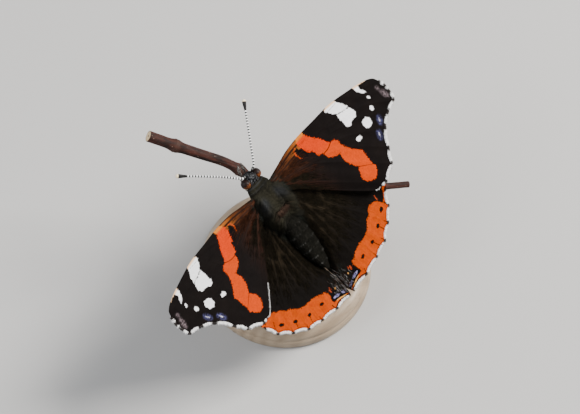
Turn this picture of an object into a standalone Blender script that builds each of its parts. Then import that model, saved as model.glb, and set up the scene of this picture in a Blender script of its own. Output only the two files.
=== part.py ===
"""Red admiral butterfly basking on a twig: a life-size display model.

Every size below is in millimetres and becomes metres when a mesh is made.
The butterfly is modelled in its own frame: x to its left, y towards its tail,
z up from its back, with the origin between the roots of the forewings.
One empty tilts that frame head up and lifts it over the display base.
"""
import math

import bpy
import numpy as np
from mathutils import Matrix, Vector
from mathutils.geometry import delaunay_2d_cdt

MM = 0.001
GAP = 0.3

# Pose on the stand
HEAD_UP_DEG = 32.5
LIFT = 31.0
FORWARD_SHIFT = -6.0

# Display base, turned, with a rounded shoulder
BASE_RADIUS = 18.0
BASE_HEIGHT = 5.0
BASE_SHOULDER = 1.4
ROD_RADIUS = 0.9
ROD_FRONT_ALONG = 0.45
ROD_BACK_ALONG = 0.70

# Rows of y, half width, half height and height of the middle
THORAX = [
    (-2.00, 1.40, 1.05, -0.62),
    (-1.65, 2.15, 1.55, -0.66),
    (-1.00, 2.65, 2.00, -0.74),
    (0.40, 2.98, 2.62, -0.90),
    (2.20, 3.15, 3.00, -1.00),
    (4.40, 3.00, 2.95, -1.10),
    (6.20, 2.35, 2.40, -1.20),
    (7.80, 1.65, 1.60, -1.30),
]
HEAD = [
    (-5.00, 0.30, 0.35, -0.75),
    (-4.80, 0.95, 0.95, -0.70),
    (-4.30, 1.55, 1.45, -0.60),
    (-3.40, 1.95, 1.70, -0.50),
    (-2.75, 1.75, 1.45, -0.50),
    (-2.32, 1.25, 0.95, -0.58),
]
EYE_CENTRE = (1.72, -3.28, -0.28)
EYE_RADII = (0.98, 1.08, 1.15)

ABDOMEN_START = 8.1
ABDOMEN_END = 22.5
ABDOMEN_RADIUS = 2.5
ABDOMEN_RISE = (-1.3, -2.9)
ABDOMEN_SEGMENTS = 7
SEGMENT_STEP = 0.10

# Wing sheet: membrane thickness, and the veins raised from both its faces
MEMBRANE = 0.5
VEIN_RISE = 0.2
VEIN_HALF_WIDTH = 0.42
VEIN_SPACING = 1.8
FILL_SPACING = 2.6
SCALLOP = 0.10

# Forewing, x outward and y towards the tail
FORE_COSTA = [(6.1, -1.1), (9.5, -1.85), (13.5, -2.15), (18.0, -2.05), (23.0, -1.85),
              (28.0, -0.85), (31.5, 0.1), (33.6, 1.15)]
FORE_VEIN_ENDS = [(34.9, 2.4), (35.3, 4.2), (35.1, 5.8), (34.2, 8.2), (31.4, 9.0),
                  (28.9, 10.6), (26.3, 14.1), (24.4, 16.9), (20.7, 18.9)]
FORE_TORNUS = [(18.9, 18.8), (17.9, 18.2)]
FORE_INNER = [(15.2, 15.7), (10.6, 10.7), (6.2, 5.9)]
FORE_ROOT = (2.9, -0.3)
FORE_VEINS = {
    "Sc": [(3.6, 0.1), (9.0, -0.9), (14.0, -1.25), (17.8, -2.0)],
    "R": [(3.6, 0.7), (9.0, 0.2), (14.0, 0.2), (18.5, 0.5), (24.0, 0.9), (29.0, 1.9), (35.1, 5.8)],
    "R1": [(14.0, 0.2), (18.0, -1.0), (22.2, -1.9)],
    "R2": [(18.5, 0.5), (22.5, -0.5), (27.2, -1.05)],
    "R3": [(26.4, 1.3), (30.5, 1.2), (34.9, 2.4)],
    "M1": [(18.5, 0.5), (19.4, 1.3), (24.0, 2.4), (29.0, 4.1), (34.2, 8.2)],
    "M2": [(18.9, 2.4), (23.0, 3.9), (27.0, 5.6), (31.4, 9.0)],
    "M3": [(17.3, 4.1), (20.4, 5.2), (24.5, 7.6), (28.9, 10.6)],
    "Cu": [(3.8, 1.6), (9.0, 3.1), (11.6, 4.0), (14.6, 4.5), (17.3, 4.1), (18.9, 2.4), (19.4, 1.3)],
    "CuA1": [(14.6, 4.5), (19.2, 7.0), (23.0, 10.5), (26.3, 14.1)],
    "CuA2": [(11.6, 4.0), (16.0, 8.0), (20.5, 12.7), (24.4, 16.9)],
    "2A": [(3.8, 2.3), (9.0, 6.8), (15.0, 13.0), (20.7, 18.9)],
}

# Hindwing
HIND_COSTA = [(5.8, 3.3), (9.5, 5.2), (13.5, 8.4), (17.2, 12.3), (19.8, 15.6), (21.0, 18.2)]
HIND_VEIN_ENDS = [(20.8, 20.2), (19.2, 23.5), (16.4, 26.0), (13.1, 28.2), (9.4, 29.3),
                  (5.0, 30.4), (1.0, 30.2)]
HIND_INNER = [(0.5, 29.2), (0.45, 26.3), (0.8, 24.0), (1.75, 22.0), (2.45, 19.5), (2.9, 16.5),
              (3.15, 13.0), (3.2, 9.5)]
HIND_ROOT = (5.6, 2.9)
HIND_VEINS = {
    "Sc": [(3.7, 3.7), (8.5, 5.7), (14.0, 10.0), (19.8, 15.6)],
    "Rs": [(3.7, 4.2), (7.0, 6.9), (11.0, 10.8), (16.0, 15.6), (20.8, 20.2)],
    "M1": [(9.4, 9.2), (13.4, 15.3), (19.2, 23.5)],
    "M2": [(8.6, 11.9), (12.2, 18.0), (16.4, 26.0)],
    "M3": [(7.4, 13.1), (10.0, 19.5), (13.1, 28.2)],
    "Cu": [(3.7, 4.9), (5.4, 9.5), (7.4, 13.1), (8.6, 11.9), (9.4, 9.2)],
    "CuA1": [(6.6, 11.8), (8.2, 19.5), (9.4, 29.3)],
    "CuA2": [(5.4, 9.5), (5.9, 18.0), (5.0, 30.4)],
    "2A": [(3.7, 5.5), (4.3, 14.0), (3.9, 21.0), (1.0, 30.2)],
}
INNER_FOLD = 0.10
FOLD_LINE = 4.6

# Feelers and palps
FEELER_RADIUS = 0.27
CLUB_RADIUS = 0.55
FEELER_PATH = [(2.1, -5.2, 1.00), (4.6, -8.2, 0.75), (7.9, -11.8, -0.15), (11.2, -15.3, -1.25)]
PALP_PATH = [(0.62, -5.25, -1.25), (0.60, -6.0, -0.85), (0.52, -6.7, -0.25), (0.45, -7.15, 0.35)]
PALP_RADII = [0.36, 0.42, 0.36, 0.25]

# Twig: the middle line, from the cut end before the head to the cut end behind
TWIG = [(7.4, -23.8, -6.8), (4.6, -18.3, -6.9), (1.8, -13.1, -7.0), (-1.0, -7.8, -7.0),
        (-2.4, -3.0, -7.0), (-2.6, 1.5, -7.1), (-3.7, 6.0, -7.3), (-7.5, 10.6, -7.3),
        (-14.3, 15.4, -7.1), (-21.0, 19.6, -7.0), (-27.5, 25.0, -7.0)]
TWIG_RADII = (1.2, 0.7)
TWIG_BUDS = (0.10, 0.34, 0.62, 0.86)
BUD_RISE = 0.32

# Legs: where each leaves the thorax, its knee, and where its foot lies along the twig
LEG_RADII = (0.45, 0.36, 0.30, 0.27)
LEGS = {
    "midleg": {"hip_y": 1.2, "knees": {1: (2.4, 2.0, -5.1), -1: (-5.3, 2.5, -4.9)},
               "foot": (0.47, 0.50)},
    "hindleg": {"hip_y": 4.9, "knees": {1: (3.5, 7.2, -5.0), -1: (-6.9, 6.2, -4.8)},
                "foot": (0.575, 0.62)},
}
HIP_ANGLE_DEG = 62.0
KNEE_EASE = 4
FORELEG_PATH = [(1.30, -1.35, -2.80), (1.25, -2.3, -2.94), (1.10, -3.2, -2.88), (0.90, -4.1, -2.62)]
FORELEG_RADII = [0.36, 0.36, 0.30, 0.25]

COLOURS = {
    "wing_black": ((0.016, 0.012, 0.010, 1), 0.75, 0.0),
    "body_hair": ((0.060, 0.048, 0.038, 1), 0.85, 0.0),
    "eye_brown": ((0.050, 0.022, 0.012, 1), 0.25, 0.0),
    "horn_black": ((0.020, 0.015, 0.012, 1), 0.45, 0.0),
    "leg_brown": ((0.150, 0.095, 0.050, 1), 0.60, 0.0),
    "bark": ((0.130, 0.060, 0.038, 1), 0.80, 0.0),
    "base_wood": ((0.420, 0.270, 0.150, 1), 0.45, 0.0),
    "rod_steel": ((0.550, 0.550, 0.540, 1), 0.35, 1.0),
}


def material(name):
    """One Principled material for each finish."""
    found = bpy.data.materials.get(name)
    if found:
        return found
    colour, roughness, metallic = COLOURS[name]
    mat = bpy.data.materials.new(name)
    mat.use_nodes = True
    shader = mat.node_tree.nodes["Principled BSDF"]
    shader.inputs["Base Color"].default_value = colour
    shader.inputs["Roughness"].default_value = roughness
    shader.inputs["Metallic"].default_value = metallic
    return mat


def make_object(name, points, faces, finish, parent=None):
    """A mesh object from points in millimetres and faces."""
    mesh = bpy.data.meshes.new(name)
    mesh.from_pydata((np.asarray(points, float) * MM).tolist(), [], [list(map(int, f)) for f in faces])
    mesh.validate()
    mesh.shade_smooth()
    mesh.set_sharp_from_angle(angle=math.radians(40))
    mesh.materials.append(material(finish))
    thing = bpy.data.objects.new(name, mesh)
    bpy.context.collection.objects.link(thing)
    thing.parent = parent
    return thing


def smooth(points, count):
    """Points at even steps along a Catmull-Rom curve through the given points."""
    given = np.asarray(points, float)
    ends = np.vstack([2 * given[0] - given[1], given, 2 * given[-1] - given[-2]])
    pieces = []
    steps = np.linspace(0, 1, 24, endpoint=False)[:, None]
    for i in range(len(given) - 1):
        a, b, c, d = ends[i:i + 4]
        pieces.append(0.5 * (2 * b + (c - a) * steps + (2 * a - 5 * b + 4 * c - d) * steps ** 2
                             + (3 * b - a - 3 * c + d) * steps ** 3))
    curve = np.vstack(pieces + [given[-1:]])
    reach = np.r_[0, np.cumsum(np.linalg.norm(np.diff(curve, axis=0), axis=1))]
    wanted = np.linspace(0, reach[-1], count)
    return np.stack([np.interp(wanted, reach, curve[:, k]) for k in range(curve.shape[1])], 1)


def eased(path, passes, kept):
    """The same path with its corners rounded off, but for its first kept points and its last."""
    path = np.array(path)
    for _ in range(passes):
        path[kept:-1] = 0.25 * path[kept - 1:-2] + 0.5 * path[kept:-1] + 0.25 * path[kept + 1:]
    return path


def rings_to_solid(rings):
    """Points and faces of a closed tube: quads between rings, a fan at each end."""
    rings = np.asarray(rings)
    count, sides = rings.shape[:2]
    points = np.vstack([rings.reshape(-1, 3), rings[0].mean(0), rings[-1].mean(0)])
    faces = []
    for k in range(count - 1):
        for s in range(sides):
            t = (s + 1) % sides
            low, high = k * sides, (k + 1) * sides
            faces.append((low + s, low + t, high + t))
            faces.append((low + s, high + t, high + s))
    first, last = count * sides, count * sides + 1
    for s in range(sides):
        t = (s + 1) % sides
        faces.append((first, t, s))
        faces.append((last, (count - 1) * sides + s, (count - 1) * sides + t))
    return points, faces


def section_ring(y, half_width, half_height, middle, sides):
    """An upright ellipse across the body, in the order that makes faces look out."""
    turn = np.linspace(0, 2 * math.pi, sides, endpoint=False)
    return np.stack([half_width * np.cos(turn), np.full(sides, y),
                     middle - half_height * np.sin(turn)], 1)


def lofted_body(name, rows, count, sides, finish, parent):
    """A body whose cross-sections run smoothly through the rows."""
    rings = [section_ring(*row, sides) for row in smooth(rows, count)]
    return make_object(name, *rings_to_solid(rings), finish, parent)


def thorax_at(y):
    """Half width, half height and middle of the thorax at one y."""
    table = np.asarray(THORAX)
    return [float(np.interp(y, table[:, 0], table[:, k])) for k in (1, 2, 3)]


def thorax_side(y, z):
    """How far out the thorax reaches at one y and height."""
    half_width, half_height, middle = thorax_at(y)
    return half_width * math.sqrt(max(0.0, 1 - ((z - middle) / half_height) ** 2))


def tube(path, radii, sides):
    """Rings square to a path, carried along it without twist."""
    path = np.asarray(path, float)
    along = np.gradient(path, axis=0)
    along /= np.linalg.norm(along, axis=1)[:, None]
    across = np.cross(along[0], (0, 0, 1))
    if np.linalg.norm(across) < 0.3:
        across = np.cross(along[0], (1, 0, 0))
    rings = []
    turn = np.linspace(0, 2 * math.pi, sides, endpoint=False)[:, None]
    for centre, direction, radius in zip(path, along, radii):
        across = across - direction * across.dot(direction)
        across /= np.linalg.norm(across)
        other = np.cross(direction, across)
        rings.append(centre + radius * (np.cos(turn) * across + np.sin(turn) * other))
    return rings_to_solid(rings)


def ellipsoid(centre, radii, around, upward):
    """Points and faces of a closed ellipsoid standing on its z axis."""
    heights = np.linspace(0, math.pi, upward + 1)[1:-1]
    turn = np.linspace(0, 2 * math.pi, around, endpoint=False)
    rings = [np.stack([np.sin(h) * np.cos(turn), np.sin(h) * np.sin(turn),
                       np.full(around, -math.cos(h))], 1) for h in heights]
    points, faces = rings_to_solid(rings)
    points[-2:] = (0, 0, -1), (0, 0, 1)
    return points * radii + centre, faces


def cut(target, cutter):
    """Take one closed shape out of another for good, and drop the cutter."""
    step = target.modifiers.new("cut", "BOOLEAN")
    step.operation = "DIFFERENCE"
    step.solver = "EXACT"
    step.object = cutter
    bpy.context.view_layer.update()
    graph = bpy.context.evaluated_depsgraph_get()
    result = bpy.data.meshes.new_from_object(target.evaluated_get(graph))
    target.modifiers.clear()
    target.data = result
    bpy.data.objects.remove(cutter)


def mirrored(points, side):
    """The same points on the butterfly's left (1) or right (-1)."""
    return np.asarray(points, float) * (side, 1, 1)


def facing(faces, side):
    """Faces turned over on the mirrored side, so that they still look out."""
    return faces if side > 0 else [tuple(reversed(f)) for f in faces]


def fore_height(x, y):
    """Middle surface of a forewing: rises outward, droops a little at the tip."""
    return -0.25 + 0.105 * x + 0.03 * y - 0.0015 * (x - 14.0) ** 2


def hind_height(x, y):
    """Middle surface of a hindwing: falls to the tail and folds down by the abdomen."""
    fold = np.maximum(0.0, FOLD_LINE - x)
    return -1.2 + 0.06 * x - 0.055 * y - INNER_FOLD * fold ** 2


def scalloped(ends):
    """A margin that stands out at each vein end and curves in between."""
    margin = []
    for start, end in zip(ends[:-1], ends[1:]):
        start, end = np.asarray(start), np.asarray(end)
        run = end - start
        inward = np.array([-run[1], run[0]])
        for t in (0.0, 0.3, 0.7):
            margin.append(start + run * t + inward * SCALLOP * 4 * t * (1 - t))
    margin.append(np.asarray(ends[-1]))
    return margin


def polyline_distance(points, path):
    """Shortest distance from each point to a polyline, and how far along it that is."""
    best = np.full(len(points), 1e9)
    place = np.zeros(len(points))
    for k, (a, b) in enumerate(zip(path[:-1], path[1:])):
        run = b - a
        t = np.clip((points - a) @ run / (run @ run), 0, 1)
        gap = np.linalg.norm(points - a - t[:, None] * run, axis=1)
        nearer = gap < best
        best[nearer] = gap[nearer]
        place[nearer] = (k + t[nearer]) / (len(path) - 1)
    return best, place


def inside(points, loop):
    """Which points lie inside a closed outline."""
    result = np.zeros(len(points), bool)
    x, y = points[:, 0], points[:, 1]
    for (ax, ay), (bx, by) in zip(loop, np.roll(loop, -1, axis=0)):
        crosses = (ay > y) != (by > y)
        with np.errstate(divide="ignore", invalid="ignore"):
            at = (bx - ax) * (y - ay) / (by - ay) + ax
        result ^= crosses & (x < at)
    return result


def vein_lines(veins):
    """Each vein as its middle line, sampled at even steps."""
    lines = []
    for route in veins.values():
        length = np.linalg.norm(np.diff(np.asarray(route), axis=0), axis=1).sum()
        lines.append(smooth(route, max(3, round(length / VEIN_SPACING) + 1)))
    return lines


def wing_sheet(outline, veins, height):
    """A thin closed sheet whose veins stand up from both faces, alike in triangles."""
    outline = np.asarray(outline)
    lines = vein_lines(veins)
    points = list(outline)
    edges = [(k, (k + 1) % len(outline)) for k in range(len(outline))]

    def add_line(line):
        first = len(points)
        points.extend(line)
        edges.extend((first + k, first + k + 1) for k in range(len(line) - 1))

    for line in lines:
        clear = line[polyline_distance(line, np.vstack([outline, outline[:1]]))[0] > 0.25]
        ends = [line[-1:]] if len(clear) < len(line) else []
        add_line(np.vstack([clear] + ends) if ends else clear)
        run = np.gradient(line, axis=0)
        run /= np.linalg.norm(run, axis=1)[:, None]
        beside = np.stack([-run[:, 1], run[:, 0]], 1) * VEIN_HALF_WIDTH
        for side in (1, -1):
            strip = line + side * beside
            far = polyline_distance(strip, np.vstack([outline, outline[:1]]))[0] > 0.35
            for other in lines:
                if other is not line:
                    far &= polyline_distance(strip, other)[0] > 0.3
            points.extend(strip[far & inside(strip, outline)])

    low, high = outline.min(0), outline.max(0)
    grid = []
    for row, y in enumerate(np.arange(low[1], high[1], FILL_SPACING * 0.87)):
        for x in np.arange(low[0] + (row % 2) * FILL_SPACING / 2, high[0], FILL_SPACING):
            grid.append((x, y))
    grid = np.asarray(grid)
    keep = inside(grid, outline)
    keep &= polyline_distance(grid, np.vstack([outline, outline[:1]]))[0] > 0.7
    for line in lines:
        keep &= polyline_distance(grid, line)[0] > 2.2 * VEIN_HALF_WIDTH
    points.extend(grid[keep])

    flat, _, triangles, _, _, _ = delaunay_2d_cdt(
        [Vector(p[:2]) for p in points], edges, [list(range(len(outline)))], 1, 0.05)
    flat = np.asarray([tuple(p) for p in flat])
    middles = np.asarray([flat[list(t)].mean(0) for t in triangles])
    triangles = [tuple(t) for t, kept in zip(triangles, inside(middles, outline)) if kept]

    rise = np.zeros(len(flat))
    for line in lines:
        gap, place = polyline_distance(flat, line)
        rise = np.maximum(rise, VEIN_RISE * (1 - 0.35 * place) * np.clip(1 - gap / VEIN_HALF_WIDTH, 0, 1))
    middle = height(flat[:, 0], flat[:, 1])
    half = MEMBRANE / 2 + rise
    top = np.column_stack([flat, middle + half])
    bottom = np.column_stack([flat, middle - half])

    def turning(t):
        a, b, c = flat[list(t)]
        return (b[0] - a[0]) * (c[1] - a[1]) - (b[1] - a[1]) * (c[0] - a[0])

    triangles = [t if turning(t) > 0 else t[::-1] for t in triangles]
    count = len(flat)
    faces = list(triangles) + [tuple(v + count for v in reversed(t)) for t in triangles]
    sides = {(t[k], t[(k + 1) % 3]) for t in triangles for k in range(3)}
    for a, b in sorted(sides):
        if (b, a) not in sides:
            faces.append((a, a + count, b + count))
            faces.append((a, b + count, b))
    used = sorted({v for f in faces for v in f})
    renumber = {old: new for new, old in enumerate(used)}
    return np.vstack([top, bottom])[used], [tuple(renumber[v] for v in f) for f in faces]


def root_edge(y_values, height):
    """Points along a wing root, one gap clear of the thorax at each y."""
    edge = []
    for y in y_values:
        x = thorax_side(y, -0.5)
        z = float(height(np.float64(x), np.float64(y)))
        worst = max(thorax_side(y, z - MEMBRANE / 2), thorax_side(y, z + MEMBRANE / 2))
        edge.append((worst + GAP, y))
    return edge


def forewing_outline():
    start, end = max(FORE_ROOT), min(FORE_ROOT)
    costa = smooth(root_edge([end], fore_height) + FORE_COSTA, 22)
    outer = scalloped(FORE_VEIN_ENDS)
    return list(costa) + outer + FORE_TORNUS + FORE_INNER + root_edge([start, 1.3], fore_height)


def hindwing_outline():
    rear, front = max(HIND_ROOT), min(HIND_ROOT)
    costa = smooth(root_edge([front], hind_height) + HIND_COSTA, 15)
    outer = scalloped(HIND_VEIN_ENDS)
    inner = smooth(HIND_INNER, 12)
    return list(costa) + outer + list(inner) + root_edge([rear, 4.3], hind_height)


def make_wings(parent):
    for name, outline, veins, height in (
            ("forewing", forewing_outline(), FORE_VEINS, fore_height),
            ("hindwing", hindwing_outline(), HIND_VEINS, hind_height)):
        points, faces = wing_sheet(outline, veins, height)
        for side, word in ((1, "left"), (-1, "right")):
            make_object(f"{name}_{word}", mirrored(points, side), facing(faces, side),
                        "wing_black", parent)


def make_abdomen(parent):
    """Overlapping body segments, each a little wider at its rear edge."""
    count = ABDOMEN_SEGMENTS * 4 + 1
    t = np.linspace(0, 1, count)
    shape = np.interp(t, [0, 0.12, 0.35, 0.55, 0.75, 0.9, 1], [0.66, 0.9, 1.0, 0.93, 0.70, 0.42, 0.10])
    ridge = SEGMENT_STEP * ((t * ABDOMEN_SEGMENTS) % 1.0) * (1 - t)
    radius = ABDOMEN_RADIUS * shape + ridge
    y = ABDOMEN_START + (ABDOMEN_END - ABDOMEN_START) * t
    middle = ABDOMEN_RISE[0] + (ABDOMEN_RISE[1] - ABDOMEN_RISE[0]) * t
    rings = [section_ring(a, r, r, m, 18) for a, r, m in zip(y, radius, middle)]
    make_object("abdomen", *rings_to_solid(rings), "body_hair", parent)


def make_head(parent):
    head = lofted_body("head", HEAD, 13, 20, "body_hair", parent)
    for side, word in ((1, "left"), (-1, "right")):
        centre = mirrored(EYE_CENTRE, side)
        make_object(f"eye_{word}", *ellipsoid(centre, EYE_RADII, 18, 12), "eye_brown", parent)
        socket = ellipsoid(centre, np.asarray(EYE_RADII) + GAP, 18, 12)
        cut(head, make_object("socket", *socket, "body_hair", parent))
        make_feeler(side, word, parent)
        path = mirrored(smooth(PALP_PATH, 9), side)
        radii = smooth([(r,) for r in PALP_RADII], 9)[:, 0]
        radii[-1] *= 0.5
        make_object(f"palp_{word}", *tube(path, radii, 8), "body_hair", parent)


def make_feeler(side, word, parent):
    """A thin shaft from the brow, swelling to a club near the tip."""
    x, y = 0.85, -4.25
    half_width, half_height, middle = [np.interp(y, [r[0] for r in HEAD], [r[k] for r in HEAD])
                                       for k in (1, 2, 3)]
    brow = np.array([x, y, middle + half_height * math.sqrt(1 - (x / half_width) ** 2)])
    outward = np.array([0.40, -0.57, 0.71])
    start = brow + outward * (GAP + 0.12)
    path = smooth([start, start + outward * 0.7] + FEELER_PATH, 22)
    t = np.linspace(0, 1, 22)
    swell = np.interp(t, [0, 0.84, 0.89, 0.93, 0.965, 0.985, 1], [0, 0, 0.35, 0.75, 1, 0.85, 0.3])
    radii = FEELER_RADIUS + (CLUB_RADIUS - FEELER_RADIUS) * swell
    make_object(f"antenna_{word}", *tube(mirrored(path, side), radii, 6), "horn_black", parent)


def twig_line(count):
    """Middle points and radii of the twig, thicker at each old bud."""
    path = smooth(TWIG, count)
    t = np.linspace(0, 1, count)
    radii = TWIG_RADII[0] + (TWIG_RADII[1] - TWIG_RADII[0]) * t
    for bud in TWIG_BUDS:
        radii += BUD_RISE * np.exp(-((t - bud) / 0.018) ** 2)
    return path, radii


def twig_at(along):
    path, radii = twig_line(101)
    place = along * 100
    index = np.arange(101)
    return (np.array([np.interp(place, index, path[:, k]) for k in range(3)]),
            float(np.interp(place, index, radii)))


def make_twig(parent):
    path, radii = twig_line(46)
    make_object("perch_twig", *tube(path, radii, 10), "bark", parent)


def foot_on_twig(along, side, lean_deg, radius):
    """A point beside the twig that keeps a foot one gap clear of the bark."""
    centre, thick = twig_at(along)
    ahead = twig_at(along + 0.01)[0] - twig_at(along - 0.01)[0]
    ahead /= np.linalg.norm(ahead)
    up = np.array([0, 0, 1.0]) - ahead * ahead[2]
    up /= np.linalg.norm(up)
    across = np.cross(up, ahead)
    across *= side * np.sign(across[0])
    lean = math.radians(lean_deg)
    return centre + (thick + GAP + radius + 0.05) * (across * math.cos(lean) + up * math.sin(lean))


def make_legs(parent):
    """Four walking legs that grip the twig, and the two small folded forelegs."""
    femur, knee_r, tibia, tarsus = LEG_RADII
    for name, plan in LEGS.items():
        for side, word in ((1, "left"), (-1, "right")):
            half_width, half_height, middle = thorax_at(plan["hip_y"])
            angle = math.radians(HIP_ANGLE_DEG)
            out = np.array([side * math.cos(angle), 0, -math.sin(angle)])
            skin = np.array([side * half_width * math.cos(angle), plan["hip_y"],
                             middle - half_height * math.sin(angle)])
            hip = skin + out * (GAP + 0.08)
            heel, toe = plan["foot"]
            foot = [foot_on_twig(a, side, 25, tarsus)
                    for a in np.linspace(heel, toe, 3)]
            knee = np.asarray(plan["knees"][side])
            ankle = foot[0] + (knee - foot[0]) * 0.12
            path = smooth([hip, hip + out * 0.6, hip * 0.5 + knee * 0.5 + (0, 0, 0.15), knee,
                           knee * 0.5 + ankle * 0.5, ankle] + foot, 22)
            path = eased(path, KNEE_EASE, 3)
            t = np.linspace(0, 1, 22)
            radii = np.interp(t, [0, 0.2, 0.4, 0.5, 0.75, 0.97, 1],
                              [femur, femur, knee_r, tibia, tarsus, tarsus, 0.5 * tarsus])
            make_object(f"{name}_{word}", *tube(path, radii, 6), "leg_brown", parent)
    for side, word in ((1, "left"), (-1, "right")):
        path = mirrored(smooth(FORELEG_PATH, 10), side)
        radii = smooth([(r,) for r in FORELEG_RADII], 10)[:, 0]
        make_object(f"foreleg_{word}", *tube(path, radii, 6), "body_hair", parent)


def make_base():
    """A turned disc with a rounded shoulder and flat faces."""
    sides = 56
    turn = np.linspace(0, 2 * math.pi, sides, endpoint=False)
    profile = [(BASE_RADIUS - 0.5, 0.0), (BASE_RADIUS, 0.5)]
    for angle in np.linspace(0, math.pi / 2, 5):
        profile.append((BASE_RADIUS - BASE_SHOULDER + BASE_SHOULDER * math.cos(angle),
                        BASE_HEIGHT - BASE_SHOULDER + BASE_SHOULDER * math.sin(angle)))
    rings = [np.stack([r * np.cos(turn), r * np.sin(turn), np.full(sides, z)], 1) for r, z in profile]
    make_object("stand_base", *rings_to_solid(rings), "base_wood")


def make_rods(pose):
    """Two upright rods, each coped to cradle the twig from below."""
    for name, along in (("stand_rod_front", ROD_FRONT_ALONG), ("stand_rod_back", ROD_BACK_ALONG)):
        centre, radius = twig_at(along)
        top = pose @ Vector(centre)
        heights = np.array([BASE_HEIGHT + GAP, top.z + 0.1])
        path = [(top.x, top.y, z) for z in heights]
        rod = make_object(name, *tube(path, [ROD_RADIUS] * 2, 16), "rod_steel")
        line, radii = twig_line(46)
        points, faces = tube(line, radii + GAP, 16)
        points = [tuple(pose @ Vector(p)) for p in points]
        cut(rod, make_object("cope", points, faces, "rod_steel"))


def main():
    for thing in list(bpy.data.objects):
        bpy.data.objects.remove(thing)
    pose = Matrix.Translation((0, FORWARD_SHIFT, LIFT)) @ Matrix.Rotation(
        -math.radians(HEAD_UP_DEG), 4, "X")
    holder = bpy.data.objects.new("butterfly_pose", None)
    bpy.context.collection.objects.link(holder)
    holder.matrix_world = Matrix.Translation((0, FORWARD_SHIFT * MM, LIFT * MM)) @ pose.to_3x3().to_4x4()
    bpy.context.view_layer.update()
    lofted_body("thorax", THORAX, 15, 20, "body_hair", holder)
    make_abdomen(holder)
    make_head(holder)
    make_wings(holder)
    make_twig(holder)
    make_legs(holder)
    make_base()
    make_rods(pose)


main()
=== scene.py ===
# %% [markdown]
# # A red admiral on its twig
# The real thing is a butterfly that basks with its wings spread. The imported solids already
# have its size, pose and main shapes, so this lesson dresses them: thin veined wings with
# their scale colours, one furred body, ringed feelers, jointed legs, bark and turned wood.

# %% Load the frame
import math
import time

import bpy
import numpy as np
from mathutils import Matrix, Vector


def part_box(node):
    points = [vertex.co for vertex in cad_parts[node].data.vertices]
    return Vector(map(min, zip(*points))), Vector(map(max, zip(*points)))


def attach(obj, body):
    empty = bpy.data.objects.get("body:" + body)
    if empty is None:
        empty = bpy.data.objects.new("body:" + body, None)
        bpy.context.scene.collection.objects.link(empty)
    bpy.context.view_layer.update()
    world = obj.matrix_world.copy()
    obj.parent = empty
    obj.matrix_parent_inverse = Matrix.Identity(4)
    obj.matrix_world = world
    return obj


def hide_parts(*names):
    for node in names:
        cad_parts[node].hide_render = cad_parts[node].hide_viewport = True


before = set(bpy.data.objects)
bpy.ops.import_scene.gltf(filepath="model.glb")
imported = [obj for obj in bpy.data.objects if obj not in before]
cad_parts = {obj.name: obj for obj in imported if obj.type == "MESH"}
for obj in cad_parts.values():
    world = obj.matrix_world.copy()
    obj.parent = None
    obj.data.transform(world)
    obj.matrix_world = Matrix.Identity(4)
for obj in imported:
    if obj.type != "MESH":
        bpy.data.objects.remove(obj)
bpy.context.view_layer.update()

started = time.time()
MM = 0.001

# %% [markdown]
# ## From the butterfly to the stand
# Every piece of the animal is easiest to draw in its own frame, with x towards its left, y
# towards its tail and z up from its back. An empty could carry the pose, but finished pieces
# sit at the origin, so the pose is worked into the points instead.

# %% Place points on the stand
HEAD_UP_DEG = 32.5
LIFT = 31.0
FORWARD_SHIFT = -6.0
SIDES = ((1, "left"), (-1, "right"))


def tilt(points):
    """A turn about x that raises the head: x, then y cos + z sin, then z cos - y sin."""
    x, y, z = np.moveaxis(np.asarray(points, float), -1, 0)
    cosine = math.cos(math.radians(HEAD_UP_DEG))
    sine = math.sin(math.radians(HEAD_UP_DEG))
    return np.stack([x, y * cosine + z * sine, z * cosine - y * sine], -1)


def on_stand(points):
    """Millimetres in the butterfly's frame to metres: the turn, then a lift."""
    return (tilt(points) + (0, FORWARD_SHIFT, LIFT)) * MM


print("Origin of the butterfly in mm:", on_stand([0, 0, 0]) / MM)

# %% [markdown]
# ## Meshes from whole arrays
# A mesh could be filled point by point, which is slow. Here each shape is a grid of points, so
# its faces follow from the row and column numbers, and foreach_set hands Blender whole arrays.

# %% Faces of a grid
def grid_quads(rows, columns, wrap=False):
    """Four-sided faces between neighbouring rows and columns; wrap joins the last column to the first."""
    last = columns if wrap else columns - 1
    row, column = np.meshgrid(np.arange(rows - 1), np.arange(last), indexing="ij")
    beside = (column + 1) % columns
    corners = [row * columns + column, (row + 1) * columns + column,
               (row + 1) * columns + beside, row * columns + beside]
    return np.stack(corners, -1).reshape(-1, 4)


print("Faces of a 4 by 5 grid:", len(grid_quads(4, 5)))


# %% Put a piece in the scene
def add_object(name, data):
    """A new object at the origin, linked to the scene."""
    made = bpy.data.objects.new(name, data)
    bpy.context.scene.collection.objects.link(made)
    return made


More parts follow.
